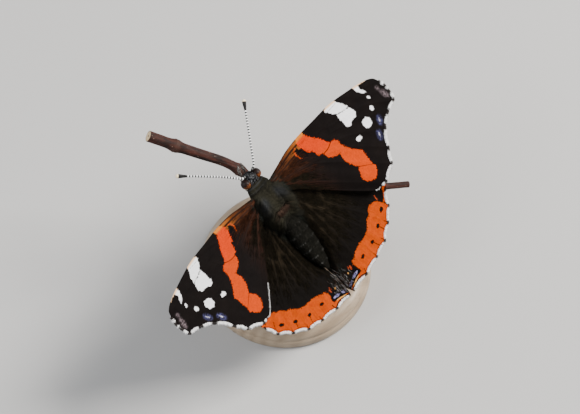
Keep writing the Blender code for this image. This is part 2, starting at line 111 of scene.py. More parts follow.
def make_piece(name, points, quads, triangles, finishes, slot, replaced=(), values=None,
               face_finish=None, bake_map=None, posed=True):
    """A mesh object at the origin from arrays; values are numbers kept at each point."""
    points = on_stand(points) if posed else np.asarray(points, float) * MM
    quads = np.asarray(quads, np.int32).reshape(-1, 4)
    triangles = np.asarray(triangles, np.int32).reshape(-1, 3)
    corners = np.concatenate([quads.ravel(), triangles.ravel()])
    starts = np.concatenate([np.arange(len(quads)) * 4,
                             quads.size + np.arange(len(triangles)) * 3])
    mesh = bpy.data.meshes.new(name)
    mesh.vertices.add(len(points))
    mesh.vertices.foreach_set("co", points.astype(np.float32).ravel())
    mesh.loops.add(len(corners))
    mesh.loops.foreach_set("vertex_index", corners.astype(np.int32))
    mesh.polygons.add(len(starts))
    mesh.polygons.foreach_set("loop_start", starts.astype(np.int32))
    mesh.update(calc_edges=True)
    for finish in finishes:
        mesh.materials.append(finish)
    if face_finish is not None:
        mesh.polygons.foreach_set("material_index", np.asarray(face_finish, np.int32))
    for key, numbers in (values or {}).items():
        numbers = np.asarray(numbers, np.float32)
        kind = "FLOAT_VECTOR" if numbers.ndim == 2 else "FLOAT"
        field = "vector" if numbers.ndim == 2 else "value"
        mesh.attributes.new(key, kind, "POINT").data.foreach_set(field, numbers.ravel())
    if bake_map is not None:
        layer = mesh.uv_layers.new(name="OFBake")
        layer.uv.foreach_set("vector", bake_map[corners].astype(np.float32).ravel())
    mesh.shade_smooth()
    piece = add_object(name, mesh)
    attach(piece, "root")
    if replaced:
        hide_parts(*replaced)
    print(f"{name}: {len(quads) * 2 + len(triangles)} triangles")
    return piece


# %% [markdown]
# ## Curves and tubes
# Feelers, legs, the twig and the veins all follow curves. A Bezier object could carry them, but
# a Catmull-Rom curve passes through its few given points and gives evenly spaced samples.

# %% Curves through points
STEPS_PER_SPAN = 24


def even(line, count):
    """The same line in equal steps of its length."""
    reach = np.r_[0, np.cumsum(np.linalg.norm(np.diff(line, axis=0), axis=1))]
    wanted = np.linspace(0, reach[-1], count)
    return np.stack([np.interp(wanted, reach, line[:, k]) for k in range(line.shape[1])], 1)


def round_turns(count):
    """Equal angles once round a circle."""
    return np.linspace(0, 2 * math.pi, count, endpoint=False)


def curve_through(points, count):
    """Catmull-Rom curve through the points, resampled to equal steps of its length."""
    given = np.asarray(points, float)
    ends = np.vstack([2 * given[0] - given[1], given, 2 * given[-1] - given[-2]])
    a, b, c, d = (ends[k:len(ends) - 3 + k, None] for k in range(4))
    step = np.linspace(0, 1, STEPS_PER_SPAN, endpoint=False)[None, :, None]
    spans = 0.5 * (2 * b + (c - a) * step + (2 * a - 5 * b + 4 * c - d) * step ** 2
                   + (3 * b - a - 3 * c + d) * step ** 3)
    return even(np.vstack([spans.reshape(-1, given.shape[1]), ends[-2]]), count)


def read_table(table, place):
    """Straight-line values of a table's other columns where its first column reads place."""
    table = np.asarray(table)
    return [np.interp(place, table[:, 0], column) for column in table[:, 1:].T]


print("A curve's middle point:", curve_through([(0, 0), (1, 1), (2, 0)], 3)[1])


# %% Rings carried along a path
def unit(vectors):
    """Each vector divided by its length."""
    return vectors / np.maximum(np.linalg.norm(vectors, axis=-1, keepdims=True), 1e-9)


def tube_rings(path, radii, sides, relief=None):
    """Circles square to the path: centre + radius (cos turn * across + sin turn * up), no twist."""
    path = np.asarray(path, float)
    along = unit(np.gradient(path, axis=0))
    across = unit(np.cross(along, (0.02, 0.05, 1.0)))
    up = np.cross(across, along)
    turn = round_turns(sides)
    radius = np.broadcast_to(np.reshape(radii, (-1, 1)), (len(path), sides)).copy()
    if relief is not None:
        radius += relief
    around = np.cos(turn)[None, :, None] * across[:, None] + np.sin(turn)[None, :, None] * up[:, None]
    return path[:, None] + radius[..., None] * around


def close_rings(rings):
    """Points, quads and end fans of a closed tube."""
    count, sides = rings.shape[:2]
    points = np.vstack([rings.reshape(-1, 3), rings[0].mean(0), rings[-1].mean(0)])
    column = np.arange(sides)
    beside = (column + 1) % sides
    first, last = count * sides, count * sides + 1
    low = np.stack([np.full(sides, first), column, beside], 1)
    high = np.stack([np.full(sides, last), first - sides + beside, first - sides + column], 1)
    return points, grid_quads(count, sides, wrap=True)[:, ::-1], np.vstack([low, high])


def join_shapes(shapes):
    """Several (points, quads, triangles) as one, with the face numbers moved up."""
    points, quads, triangles, moved = [], [], [], 0
    for p, q, t in shapes:
        points.append(p)
        quads.append(np.asarray(q, int).reshape(-1, 4) + moved)
        triangles.append(np.asarray(t, int).reshape(-1, 3) + moved)
        moved += len(p)
    return np.vstack(points), np.vstack(quads), np.vstack(triangles)


# %% [markdown]
# ## Distances for painting
# The wing pattern could be an image, but this model has none. Each patch of colour is a loop of
# a few points, and every wing point keeps how deep it lies inside that loop. The shader then
# cuts the colour off at zero, so an edge stays sharp at any size.

# %% Distance to lines and depth inside loops
def gap_to_line(points, line):
    """Shortest distance from each point to the segments of a line."""
    best = np.full(len(points), np.inf)
    for a, b in zip(line[:-1], line[1:]):
        run = b - a
        t = np.clip((points - a) @ run / max(run @ run, 1e-12), 0, 1)
        best = np.minimum(best, np.linalg.norm(points - a - t[:, None] * run, axis=1))
    return best


def depth_inside(points, loop):
    """Distance to a closed loop, positive inside by the even-odd rule and negative outside."""
    closed = np.vstack([loop, loop[:1]])
    within = np.zeros(len(points), bool)
    x, y = points[:, 0], points[:, 1]
    for (ax, ay), (bx, by) in zip(closed[:-1], closed[1:]):
        if ay != by:
            within ^= ((ay > y) != (by > y)) & (x < (bx - ax) * (y - ay) / (by - ay) + ax)
    return np.where(within, 1, -1) * gap_to_line(points, closed)


def patch_depth(points, loops):
    """The greatest depth in any of several loops."""
    return np.max([depth_inside(points, np.asarray(loop, float)) for loop in loops], axis=0)


def spot(x, y, half_width, half_height, turn_deg=0.0):
    """A loop of twelve points round a turned ellipse."""
    turn = round_turns(12)
    a, b = half_width * np.cos(turn), half_height * np.sin(turn)
    cosine, sine = math.cos(math.radians(turn_deg)), math.sin(math.radians(turn_deg))
    return np.stack([x + a * cosine - b * sine, y + a * sine + b * cosine], 1)


# %% [markdown]
# ## Shader maths as Python
# Node trees could be built link by link. A small class wraps a socket instead, so that
# 1 - mask * 0.5 reads as it would on paper and adds its own Math nodes.

# %% A socket that does sums
class Shade:
    """One output socket; each operator adds a Math node and returns its result."""

    def __init__(self, finish, socket):
        self.finish, self.socket = finish, socket

    def sum(self, operation, *given):
        return self.finish.node("ShaderNodeMath", {"operation": operation}, dict(enumerate(given)))

    def __add__(self, other):
        return self.sum("ADD", self, other)

    def __radd__(self, other):
        return self.sum("ADD", other, self)

    def __sub__(self, other):
        return self.sum("SUBTRACT", self, other)

    def __rsub__(self, other):
        return self.sum("SUBTRACT", other, self)

    def __mul__(self, other):
        return self.sum("MULTIPLY", self, other)

    def __rmul__(self, other):
        return self.sum("MULTIPLY", other, self)

    def __truediv__(self, other):
        return self.sum("DIVIDE", self, other)

    def __neg__(self):
        return self.sum("MULTIPLY", self, -1.0)

    def __abs__(self):
        return self.sum("ABSOLUTE", self)

    def most(self, other):
        return self.sum("MAXIMUM", self, other)

    def power(self, other):
        return self.sum("POWER", self, other)

    def rise(self, low, high):
        """0 below low, 1 above high and smooth between; a fall where low is above high."""
        down = low > high
        low, high = min(low, high), max(low, high)
        return self.finish.node("ShaderNodeMapRange", {"interpolation_type": "SMOOTHSTEP"},
                                {"Value": self, "From Min": low, "From Max": high,
                                 "To Min": float(down), "To Max": float(not down)})


# %% A finish under the brush
class Finish:
    """A material while it is built; node() adds any node and the rest are short forms of it."""

    def __init__(self, name, **fixed):
        self.material = bpy.data.materials.new(name)
        self.material.use_nodes = True
        self.tree = self.material.node_tree
        self.shader = self.tree.nodes["Principled BSDF"]
        for key, value in fixed.items():
            self.put(self.shader.inputs[key.replace("_", " ")], value)

    def put(self, socket, value):
        """Set a socket to a number or colour, or link what a Shade holds."""
        if isinstance(value, Shade):
            self.tree.links.new(value.socket, socket)
        elif socket.type == "RGBA" and len(value) == 3:
            socket.default_value = (*value, 1.0)
        else:
            socket.default_value = value

    def node(self, kind, settings=None, inputs=None, output=0):
        """Add a node: its settings first, then its sockets; give one output back."""
        made = self.tree.nodes.new(kind)
        for key, value in (settings or {}).items():
            setattr(made, key, value)
        for key, value in (inputs or {}).items():
            self.put(made.inputs[key], value)
        return Shade(self, made.outputs[output])

    def value(self, name):
        """A number kept at each point of the mesh."""
        return self.node("ShaderNodeAttribute", {"attribute_name": name}, output="Fac")

    def vector(self, name):
        """A vector kept at each point of the mesh."""
        return self.node("ShaderNodeAttribute", {"attribute_name": name}, output="Vector")

    def place(self):
        """Object coordinates, in metres."""
        return self.node("ShaderNodeTexCoord", output="Object")

    def part(self, vector, axis):
        """The X, Y or Z of a vector."""
        return self.node("ShaderNodeSeparateXYZ", {}, {0: vector}, axis)

    def stretch(self, vector, scale, turn_deg=0.0):
        """A vector turned about z, then multiplied axis by axis."""
        turned = self.node("ShaderNodeMapping", {"vector_type": "POINT"},
                           {"Vector": vector, "Rotation": (0, 0, math.radians(turn_deg))})
        return self.node("ShaderNodeVectorMath", {"operation": "MULTIPLY"}, {0: turned, 1: scale})

    def noise(self, vector, scale=1.0, detail=2.0, rough=0.5, warp=0.0):
        return self.node("ShaderNodeTexNoise", {}, {"Vector": vector, "Scale": scale, "Detail": detail,
                                                    "Roughness": rough, "Distortion": warp})

    def cells(self, vector, scale=1.0, output="Distance"):
        return self.node("ShaderNodeTexVoronoi", {}, {"Vector": vector, "Scale": scale}, output)

    def chance(self, vector):
        """One random number for each cell."""
        return self.node("ShaderNodeSeparateColor", {}, {"Color": self.cells(vector, output="Color")})

    def mix(self, factor, a, b):
        """Colour a where the factor is 0 and colour b where it is 1."""
        return self.node("ShaderNodeMix", {"data_type": "RGBA"}, {0: factor, 6: a, 7: b}, 2)

    def shade(self, colour, factor):
        """A colour made lighter or darker by a factor."""
        return self.node("ShaderNodeVectorMath", {"operation": "SCALE"}, {0: colour, "Scale": factor})

    def bump(self, height, distance, strength):
        return self.node("ShaderNodeBump", {}, {"Height": height, "Distance": distance,
                                                "Strength": strength})

    def done(self, colour, roughness=None, normal=None):
        """Link what varies and hand the material over."""
        for key, value in (("Base Color", colour), ("Roughness", roughness), ("Normal", normal)):
            if value is not None:
                self.put(self.shader.inputs[key], value)
        return self.material


# %% [markdown]
# ## The wing plans
# A wing is a dry sheet stretched between stiff veins. Its outline and veins repeat the named
# values of the part's source, in millimetres out from the body and towards the tail. The
# membrane stops half a millimetre short of the outline, where the fringe of long scales begins.

# %% Forewing plan
FORE_COSTA = [(2.2, -0.2), (6.1, -1.1), (9.5, -1.85), (13.5, -2.15), (18.0, -2.05), (23.0, -1.85),
              (28.0, -0.85), (31.5, 0.1), (33.6, 1.15)]
FORE_VEIN_ENDS = [(34.9, 2.4), (35.3, 4.2), (35.1, 5.8), (34.2, 8.2), (31.4, 9.0),
                  (28.9, 10.6), (26.3, 14.1), (24.4, 16.9), (20.7, 18.9), (18.9, 18.8)]
FORE_INNER = [(2.2, 3.0), (6.2, 5.9), (10.6, 10.7), (15.2, 15.7), (17.9, 18.2)]
FORE_VEINS = {
    "Sc": [(2.0, 0.3), (3.6, 0.1), (9.0, -0.9), (14.0, -1.25), (17.8, -2.0)],
    "R": [(2.0, 0.8), (3.6, 0.7), (9.0, 0.2), (14.0, 0.2), (18.5, 0.5), (24.0, 0.9), (29.0, 1.9),
          (35.1, 5.8)],
    "R1": [(14.0, 0.2), (18.0, -1.0), (22.2, -1.9)],
    "R2": [(18.5, 0.5), (22.5, -0.5), (27.2, -1.05)],
    "R3": [(26.4, 1.3), (30.5, 1.2), (34.9, 2.4)],
    "M1": [(18.5, 0.5), (19.4, 1.3), (24.0, 2.4), (29.0, 4.1), (34.2, 8.2)],
    "M2": [(18.9, 2.4), (23.0, 3.9), (27.0, 5.6), (31.4, 9.0)],
    "M3": [(17.3, 4.1), (20.4, 5.2), (24.5, 7.6), (28.9, 10.6)],
    "Cu": [(2.0, 1.5), (3.8, 1.6), (9.0, 3.1), (11.6, 4.0), (14.6, 4.5), (17.3, 4.1), (18.9, 2.4),
           (19.4, 1.3)],
    "CuA1": [(14.6, 4.5), (19.2, 7.0), (23.0, 10.5), (26.3, 14.1)],
    "CuA2": [(11.6, 4.0), (16.0, 8.0), (20.5, 12.7), (24.4, 16.9)],
    "2A": [(2.2, 1.9), (3.8, 2.3), (9.0, 6.8), (15.0, 13.0), (20.7, 18.9)],
}

# %% Hindwing plan
HIND_COSTA = [(2.4, 2.2), (5.8, 3.3), (9.5, 5.2), (13.5, 8.4), (17.2, 12.3), (19.8, 15.6), (21.0, 18.2)]
HIND_VEIN_ENDS = [(20.8, 20.2), (19.2, 23.5), (16.4, 26.0), (13.1, 28.2), (9.4, 29.3),
                  (5.05, 30.15), (0.55, 30.5)]
HIND_INNER = [(1.2, 6.0), (0.8, 9.0), (0.6, 13.0), (0.5, 16.5), (0.3, 19.5), (0.12, 22.0),
              (0.05, 24.0), (0.03, 26.3), (0.04, 28.5)]
GUTTER_Y = [0.0, 6.0, 9.0, 13.0, 17.0, 20.0, 22.5, 25.0, 31.0]
GUTTER_X = [2.0, 2.0, 2.6, 3.3, 3.3, 2.8, 2.0, 1.0, 0.4]
HIND_VEINS = {
    "Sc": [(2.4, 3.4), (3.7, 3.7), (8.5, 5.7), (14.0, 10.0), (19.8, 15.6)],
    "Rs": [(2.4, 3.8), (3.7, 4.2), (7.0, 6.9), (11.0, 10.8), (16.0, 15.6), (20.8, 20.2)],
    "M1": [(9.4, 9.2), (13.4, 15.3), (19.2, 23.5)],
    "M2": [(8.6, 11.9), (12.2, 18.0), (16.4, 26.0)],
    "M3": [(7.4, 13.1), (10.0, 19.5), (13.1, 28.2)],
    "Cu": [(2.4, 4.3), (3.7, 4.9), (5.4, 9.5), (7.4, 13.1), (8.6, 11.9), (9.4, 9.2)],
    "CuA1": [(6.6, 11.8), (8.2, 19.5), (9.4, 29.3)],
    "CuA2": [(5.4, 9.5), (5.9, 18.0), (5.05, 30.15)],
    "2A": [(2.6, 5.0), (3.7, 5.5), (4.3, 14.0), (3.9, 21.0), (0.8, 30.3)],
}

# %% [markdown]
# ## How high the wings lie
# Each forewing rises outward and droops at its tip. Each hindwing falls towards the tail and
# folds down beside the abdomen. Where the two overlap the real sheets touch, so the forewing's
# rear edge is let down and the hindwing's front edge is lifted to meet it.

# %% Height of each sheet
def fore_height(x, y):
    """A plane that rises outward, less a bow along the span, let down towards the rear edge."""
    plane = -0.25 + 0.105 * x + 0.03 * y - 0.0015 * (x - 14.0) ** 2
    behind = np.clip((y - 0.95 * x + 4.5) / 5.0, 0, 1)
    return plane - 0.75 * behind ** 2 * np.clip(x / 8.0, 0, 1)


def hind_height(x, y):
    """A plane that falls to the tail, a gutter round the abdomen, and a lifted front edge."""
    fold = np.clip(4.6 - x, 0.0, 1.6)
    inside = np.maximum(0.0, np.interp(y, GUTTER_Y, GUTTER_X) - x)
    gutter = 1.1 * inside ** 2 / (1 + 0.3 * inside ** 2)
    before = np.clip((1.12 * x - y + 1.5) / 6.5, 0, 1)
    wave = 0.07 * np.sin(1.15 * x - 0.22 * y) * np.clip((y - 8) / 10, 0, 1)
    return (-1.2 + 0.06 * x - 0.055 * y - 0.10 * fold ** 2 - gutter + wave
            + 1.55 * before ** 2 * np.clip(x / 9.0, 0, 1))


print("Gap between the sheets:", round(float(fore_height(14.0, 12.0) - hind_height(14.0, 12.0)), 2))


# %% The scalloped edge
MEMBRANE_INSET = 0.55


def scalloped(ends, inset, samples=14, bow=0.10):
    """Chords between vein ends, bowed in by a tenth of their length, moved in by the inset."""
    ends = np.asarray(ends, float)
    t = np.linspace(0, 1, samples, endpoint=False)[None, :, None]
    run = np.diff(ends, axis=0)[:, None]
    inward = np.stack([-run[..., 1], run[..., 0]], -1)
    line = (ends[:-1, None] + run * t + inward * bow * 4 * t * (1 - t)).reshape(-1, 2)
    line = np.vstack([line, ends[-1]])
    mean_run = unit(np.gradient(curve_through(ends, len(line)), axis=0))
    return line + inset * np.stack([-mean_run[:, 1], mean_run[:, 0]], 1)


def coons(front, back, root, edge):
    """Surface between four border curves: both straight blends added, less the corners' blend."""
    s = np.linspace(0, 1, len(front))[:, None, None]
    t = np.linspace(0, 1, len(root))[None, :, None]
    lengthwise = (1 - t) * front[:, None] + t * back[:, None]
    crosswise = (1 - s) * root[None] + s * edge[None]
    corners = ((1 - s) * ((1 - t) * root[0] + t * root[-1])
               + s * ((1 - t) * edge[0] + t * edge[-1]))
    return lengthwise + crosswise - corners


# %% [markdown]
# ## The pattern of the forewing
# On the real wing each patch is made of thousands of single-coloured scales. The loops below
# outline them: the band that crosses the wing, the white bar and spots near the tip, and the
# dusting of blue scales inside the margin.

# %% Forewing patches
FORE_BAND = [(13.2, -2.5), (14.6, -2.3), (14.5, -1.2), (15.0, -0.4), (15.5, 0.4), (16.5, 1.8),
             (16.9, 2.9), (17.5, 3.7), (18.5, 4.0), (18.9, 4.6), (18.9, 5.9), (19.3, 7.0), (19.8, 8.0),
             (20.5, 8.9), (21.4, 9.9), (21.2, 10.9), (21.1, 12.0), (21.0, 12.9), (20.9, 13.5),
             (21.2, 14.2), (20.7, 15.0), (20.2, 15.6), (19.3, 16.1), (18.1, 15.8), (17.5, 15.0),
             (17.2, 14.2), (17.4, 13.2), (17.9, 12.3), (18.4, 11.7), (17.9, 11.0), (17.3, 9.8),
             (17.0, 8.6), (17.2, 7.6), (17.3, 6.95), (16.7, 6.7), (15.8, 6.3), (15.1, 5.8),
             (14.8, 4.9), (14.7, 4.2), (13.9, 3.9), (13.6, 3.1), (13.4, 2.15), (12.8, 2.0),
             (12.4, 1.2), (12.1, 0.2), (11.9, -0.6), (12.0, -1.3), (12.5, -2.0)]
FORE_WHITE = [
    [(21.1, -1.3), (21.3, -1.8), (22.6, -2.4), (24.2, -2.2), (24.35, -1.2), (24.5, -0.8), (25.2, 0.2),
     (25.55, 1.45), (24.0, 1.15), (22.75, 0.7), (21.9, -0.1), (21.6, -0.8)],
    [(22.55, 0.85), (24.0, 1.3), (25.6, 1.7), (26.05, 3.1), (25.4, 4.05), (24.6, 4.0), (23.9, 4.15),
     (23.4, 4.6), (22.6, 4.4), (22.3, 3.8), (22.5, 3.0), (22.35, 2.0)],
    [(25.6, 5.8), (26.8, 5.6), (27.3, 6.3), (27.1, 7.5), (26.0, 7.9), (25.3, 7.4), (25.2, 6.4)],
    [(22.2, 7.2), (23.1, 7.3), (23.3, 8.0), (22.4, 8.25), (21.9, 7.8)],
    spot(29.1, 5.4, 0.42, 0.55, 15), spot(30.2, 3.25, 0.24, 0.45, -15),
    [(29.1, -0.8), (29.9, -0.7), (30.3, 0.0), (30.0, 0.7), (30.4, 1.4), (30.7, 2.25), (30.1, 2.0),
     (29.5, 1.2), (29.1, 0.5)],
    [(29.6, -0.8), (31.0, -0.4), (32.2, 0.1), (32.0, 0.42), (31.0, 0.05), (30.2, -0.1)],
]
FORE_BLUE = [spot(28.6, 8.3, 0.32, 0.85, 25), spot(26.35, 10.45, 0.32, 0.95, 25)]
FORE_APEX = [spot(33.35, 5.2, 0.50, 1.25, -10), spot(33.0, 3.3, 0.30, 0.45)]
FORE_CUTS = [[(17.7, 3.7), (16.2, 4.3), (14.5, 4.4)], [(17.2, 6.72), (17.6, 6.85)],
             [(18.2, 11.6), (19.4, 12.45), (21.0, 13.6)], [(21.3, -1.0), (22.9, -1.0), (24.5, -1.1)]]
FORE_BLOTCH = [[(11.3, -0.7), (11.7, 0.0), (12.3, 1.2), (12.6, 2.0), (11.9, 2.5), (11.2, 1.6),
                (10.8, 0.5), (10.6, -0.4)]]
FORE_HOOK = [[(11.1, -1.0), (10.3, -0.5), (10.1, 0.4), (10.5, 1.5), (10.9, 1.8), (10.6, 1.1),
              (10.45, 0.3), (10.6, -0.4), (11.2, -0.75)]]

# %% Hindwing patches
HIND_BAND = [
    [(17.5, 20.7), (16.6, 19.95), (15.3, 19.85), (14.5, 20.5), (13.9, 21.3), (13.0, 21.6),
     (12.2, 22.4), (11.5, 23.1), (10.0, 23.7), (8.7, 23.75), (7.7, 24.0), (6.6, 24.25), (5.3, 25.0),
     (4.6, 25.2), (4.3, 25.8), (4.35, 26.6), (4.5, 27.6), (4.6, 28.1), (3.6, 28.2), (2.0, 28.75),
     (0.8, 29.15), (0.0, 29.5), (0.0, 31.5), (5.2, 31.5), (8.0, 31.2),
     (12.0, 30.4), (16.0, 28.2), (19.5, 25.6), (19.3, 24.2), (18.7, 22.9), (18.0, 21.6)],
    [(19.9, 18.8), (19.5, 20.1), (19.0, 21.0), (18.3, 21.6), (18.9, 22.7), (19.6, 24.1), (22.0, 22.8),
     (22.2, 19.2)],
]
HIND_DOTS = [spot(16.8, 22.4, 0.66, 0.38, -37), spot(13.9, 24.3, 0.52, 0.38, -35),
             spot(10.6, 25.7, 0.50, 0.38, -5), spot(6.95, 26.25, 0.56, 0.36, -15)]
HIND_CORNER = [[(15.6, 20.2), (16.2, 19.2), (17.6, 18.9), (19.2, 19.2), (20.2, 20.2), (19.8, 21.8),
                (18.4, 22.4), (17.0, 21.4)]]
HIND_LUNULE = [spot(1.2, 28.32, 0.72, 0.27, -25), spot(3.1, 27.72, 0.95, 0.29, -14)]
HIND_DARK = [[(-0.2, 27.5), (0.5, 27.3), (2.0, 26.9), (3.3, 26.7), (4.4, 27.0), (4.7, 27.7), (4.5, 28.1),
              (3.6, 28.3), (2.3, 28.65), (1.0, 28.95), (0.1, 29.6), (-0.2, 29.6)]]
HIND_LINE = [(5.2, 29.4), (4.4, 29.05), (3.65, 28.9), (2.2, 29.12), (0.9, 29.45), (0.1, 29.7)]
HIND_STREAKS = [spot(17.6, 19.8, 0.13, 0.85, 3), spot(3.45, 26.0, 0.20, 0.55, 12),
                spot(3.0, 25.6, 0.08, 0.5, 15)]
HIND_EYESPOTS = [spot(16.2, 21.2, 0.8, 0.8), spot(13.3, 23.2, 0.75, 0.75), spot(10.2, 24.6, 0.8, 0.8),
                 spot(6.7, 25.2, 0.75, 0.75)]
HIND_CUTS = [[(17.7, 20.7), (18.3, 21.7), (19.4, 23.9)], [(14.0, 24.5), (14.4, 25.6), (14.8, 26.6)],
             [(10.7, 25.9), (11.1, 26.8), (11.4, 27.6)], [(16.1, 25.3), (15.6, 24.5)],
             [(12.9, 27.5), (12.6, 26.6)], [(9.3, 28.7), (9.2, 27.6)], [(5.2, 29.2), (5.4, 28.2)]]


# %% [markdown]
# ## Building a wing
# A wing could be cut from a plane with a Boolean, which leaves uneven faces. A Coons patch fills
# the four border curves with an even grid instead. Its upper and lower sheets differ by a
# thickness that rises at every vein and thins out to the edge.

# %% Sheets with veins
WING_ROWS = 220
WING_COLUMNS = 130
HALF_SHEET = 0.07


def vein_relief(flat, veins):
    """Height of the nearest vein: a rounded ridge, finer away from the root, and its distance."""
    reach = np.linalg.norm(flat, axis=1)
    fade = np.clip(1 - reach / 40.0, 0.25, 1)
    gap = np.full(len(flat), 9.0)
    for name, route in veins.items():
        stout = 0.75 if name in ("Sc", "R", "Cu") else 1.0
        gap = np.minimum(gap, gap_to_line(flat, curve_through(route, 16)) * stout)
    width = 0.13 + 0.12 * fade
    return (0.025 + 0.045 * fade) * np.exp(-(gap / width) ** 2), gap


def sheet_faces(rows, columns):
    """Quads of an upper grid, a lower grid turned over and the rim between them."""
    upper = grid_quads(rows, columns)
    count = rows * columns
    index = np.arange(count).reshape(rows, columns)
    rim = np.concatenate([index[0, :-1], index[:-1, -1], index[-1, :0:-1], index[:0:-1, 0]])
    after = np.roll(rim, -1)
    side = np.stack([rim, after, after + count, rim + count], 1)
    faces = np.vstack([upper, upper[:, ::-1] + count, side])
    kind = np.r_[np.zeros(len(upper)), np.ones(len(upper)), np.zeros(len(side))]
    return faces, kind


def wing_plan(costa, vein_ends, inner):
    """The grid of a wing between costa, edge, inner margin and root, in the plane."""
    edge = scalloped(vein_ends, MEMBRANE_INSET)
    front = curve_through(costa + [tuple(edge[0])], WING_ROWS)
    back = curve_through(inner + [tuple(edge[-1])], WING_ROWS)
    root = even(np.array([front[0], back[0]]), WING_COLUMNS)
    return coons(front, back, root, even(edge, WING_COLUMNS)), edge


def wing_numbers(plan, ends, veins, paints):
    """What each point of a wing keeps, in millimetres, worked out once for both sides."""
    flat = plan.reshape(-1, 2)
    relief, gap = vein_relief(flat, veins)
    border = np.vstack([plan[::5, 0], plan[-1, ::3], plan[::-5, -1], plan[0, ::-1]])
    values = {"vein": gap, "rim": gap_to_line(flat, border), "costa": gap_to_line(flat, plan[::3, 0]),
              "margin": gap_to_line(flat, plan[-1, ::2]),
              "ends": np.min([np.linalg.norm(flat - e, axis=1) for e in np.asarray(ends)], axis=0)}
    values.update({key: paint(flat) for key, paint in paints.items()})
    return relief, values


def make_wing(name, side, plan, height, relief, kept, finishes):
    """Upper and lower sheet from one plan: middle height plus or minus half the thickness."""
    flat = plan.reshape(-1, 2)
    gap, inner = kept["vein"], kept["rim"]
    thin = np.clip(inner / 0.5, 0.15, 1)
    sag = 0.05 * (1 - np.exp(-(gap / 0.7) ** 2)) * np.clip(inner / 1.0, 0, 1)
    ripple = 0.03 * np.sin(2.1 * flat[:, 0] + side) * np.sin(1.7 * flat[:, 1]) * np.clip(inner, 0, 1)
    middle = height(flat[:, 0], flat[:, 1]) + ripple
    upper = middle + thin * (HALF_SHEET + relief) - sag
    lower = middle - thin * (HALF_SHEET + 0.7 * relief) - sag
    points = np.vstack([np.column_stack([flat, upper]), np.column_stack([flat, lower])])
    points[:, 0] *= side
    faces, kind = sheet_faces(WING_ROWS, WING_COLUMNS)
    if side < 0:
        faces = faces[:, ::-1]
    s, t = np.meshgrid(np.linspace(0, 1, WING_ROWS), np.linspace(0, 1, WING_COLUMNS), indexing="ij")
    values = {"plane": np.column_stack([flat[:, 0] * side, flat[:, 1], 0 * s.ravel()]),
              "flow": np.column_stack([s.ravel(), t.ravel() * side, 0 * s.ravel()])}
    values.update(kept)
    values = {key: np.concatenate([v, v]) for key, v in values.items()}
    return make_piece(f"{name}_sheet", points, faces, [], finishes, "wing", [name], values, kind)


# %% [markdown]
# ## Wing scales
# Real wing scales are about a tenth of a millimetre wide and lie like roof tiles, each of one
# colour. A Voronoi texture stretched along the wing gives such cells: its distance makes the
# relief, and its random number moves the colour edge by a whole scale, so edges look torn.

# %% Scale texture
SCALE_LENGTH = 0.19
SCALE_WIDTH = 0.11


def scale_field(f, turn_deg):
    """Relief and random number of the scales, with the plane coordinates in millimetres."""
    plane = f.vector("plane")
    stretched = f.stretch(plane, (1 / SCALE_LENGTH, 1 / SCALE_WIDTH, 1.0), turn_deg)
    return plane, f.cells(stretched), f.chance(stretched)


def cut_off(f, name, wander, softness=0.03):
    """1 inside a patch: its depth, moved by the wander, crosses zero."""
    return (f.value(name) + wander).rise(-softness, softness)


# %% Forewing upper finish
BLACK_SCALES = (0.0032, 0.0026, 0.0026)


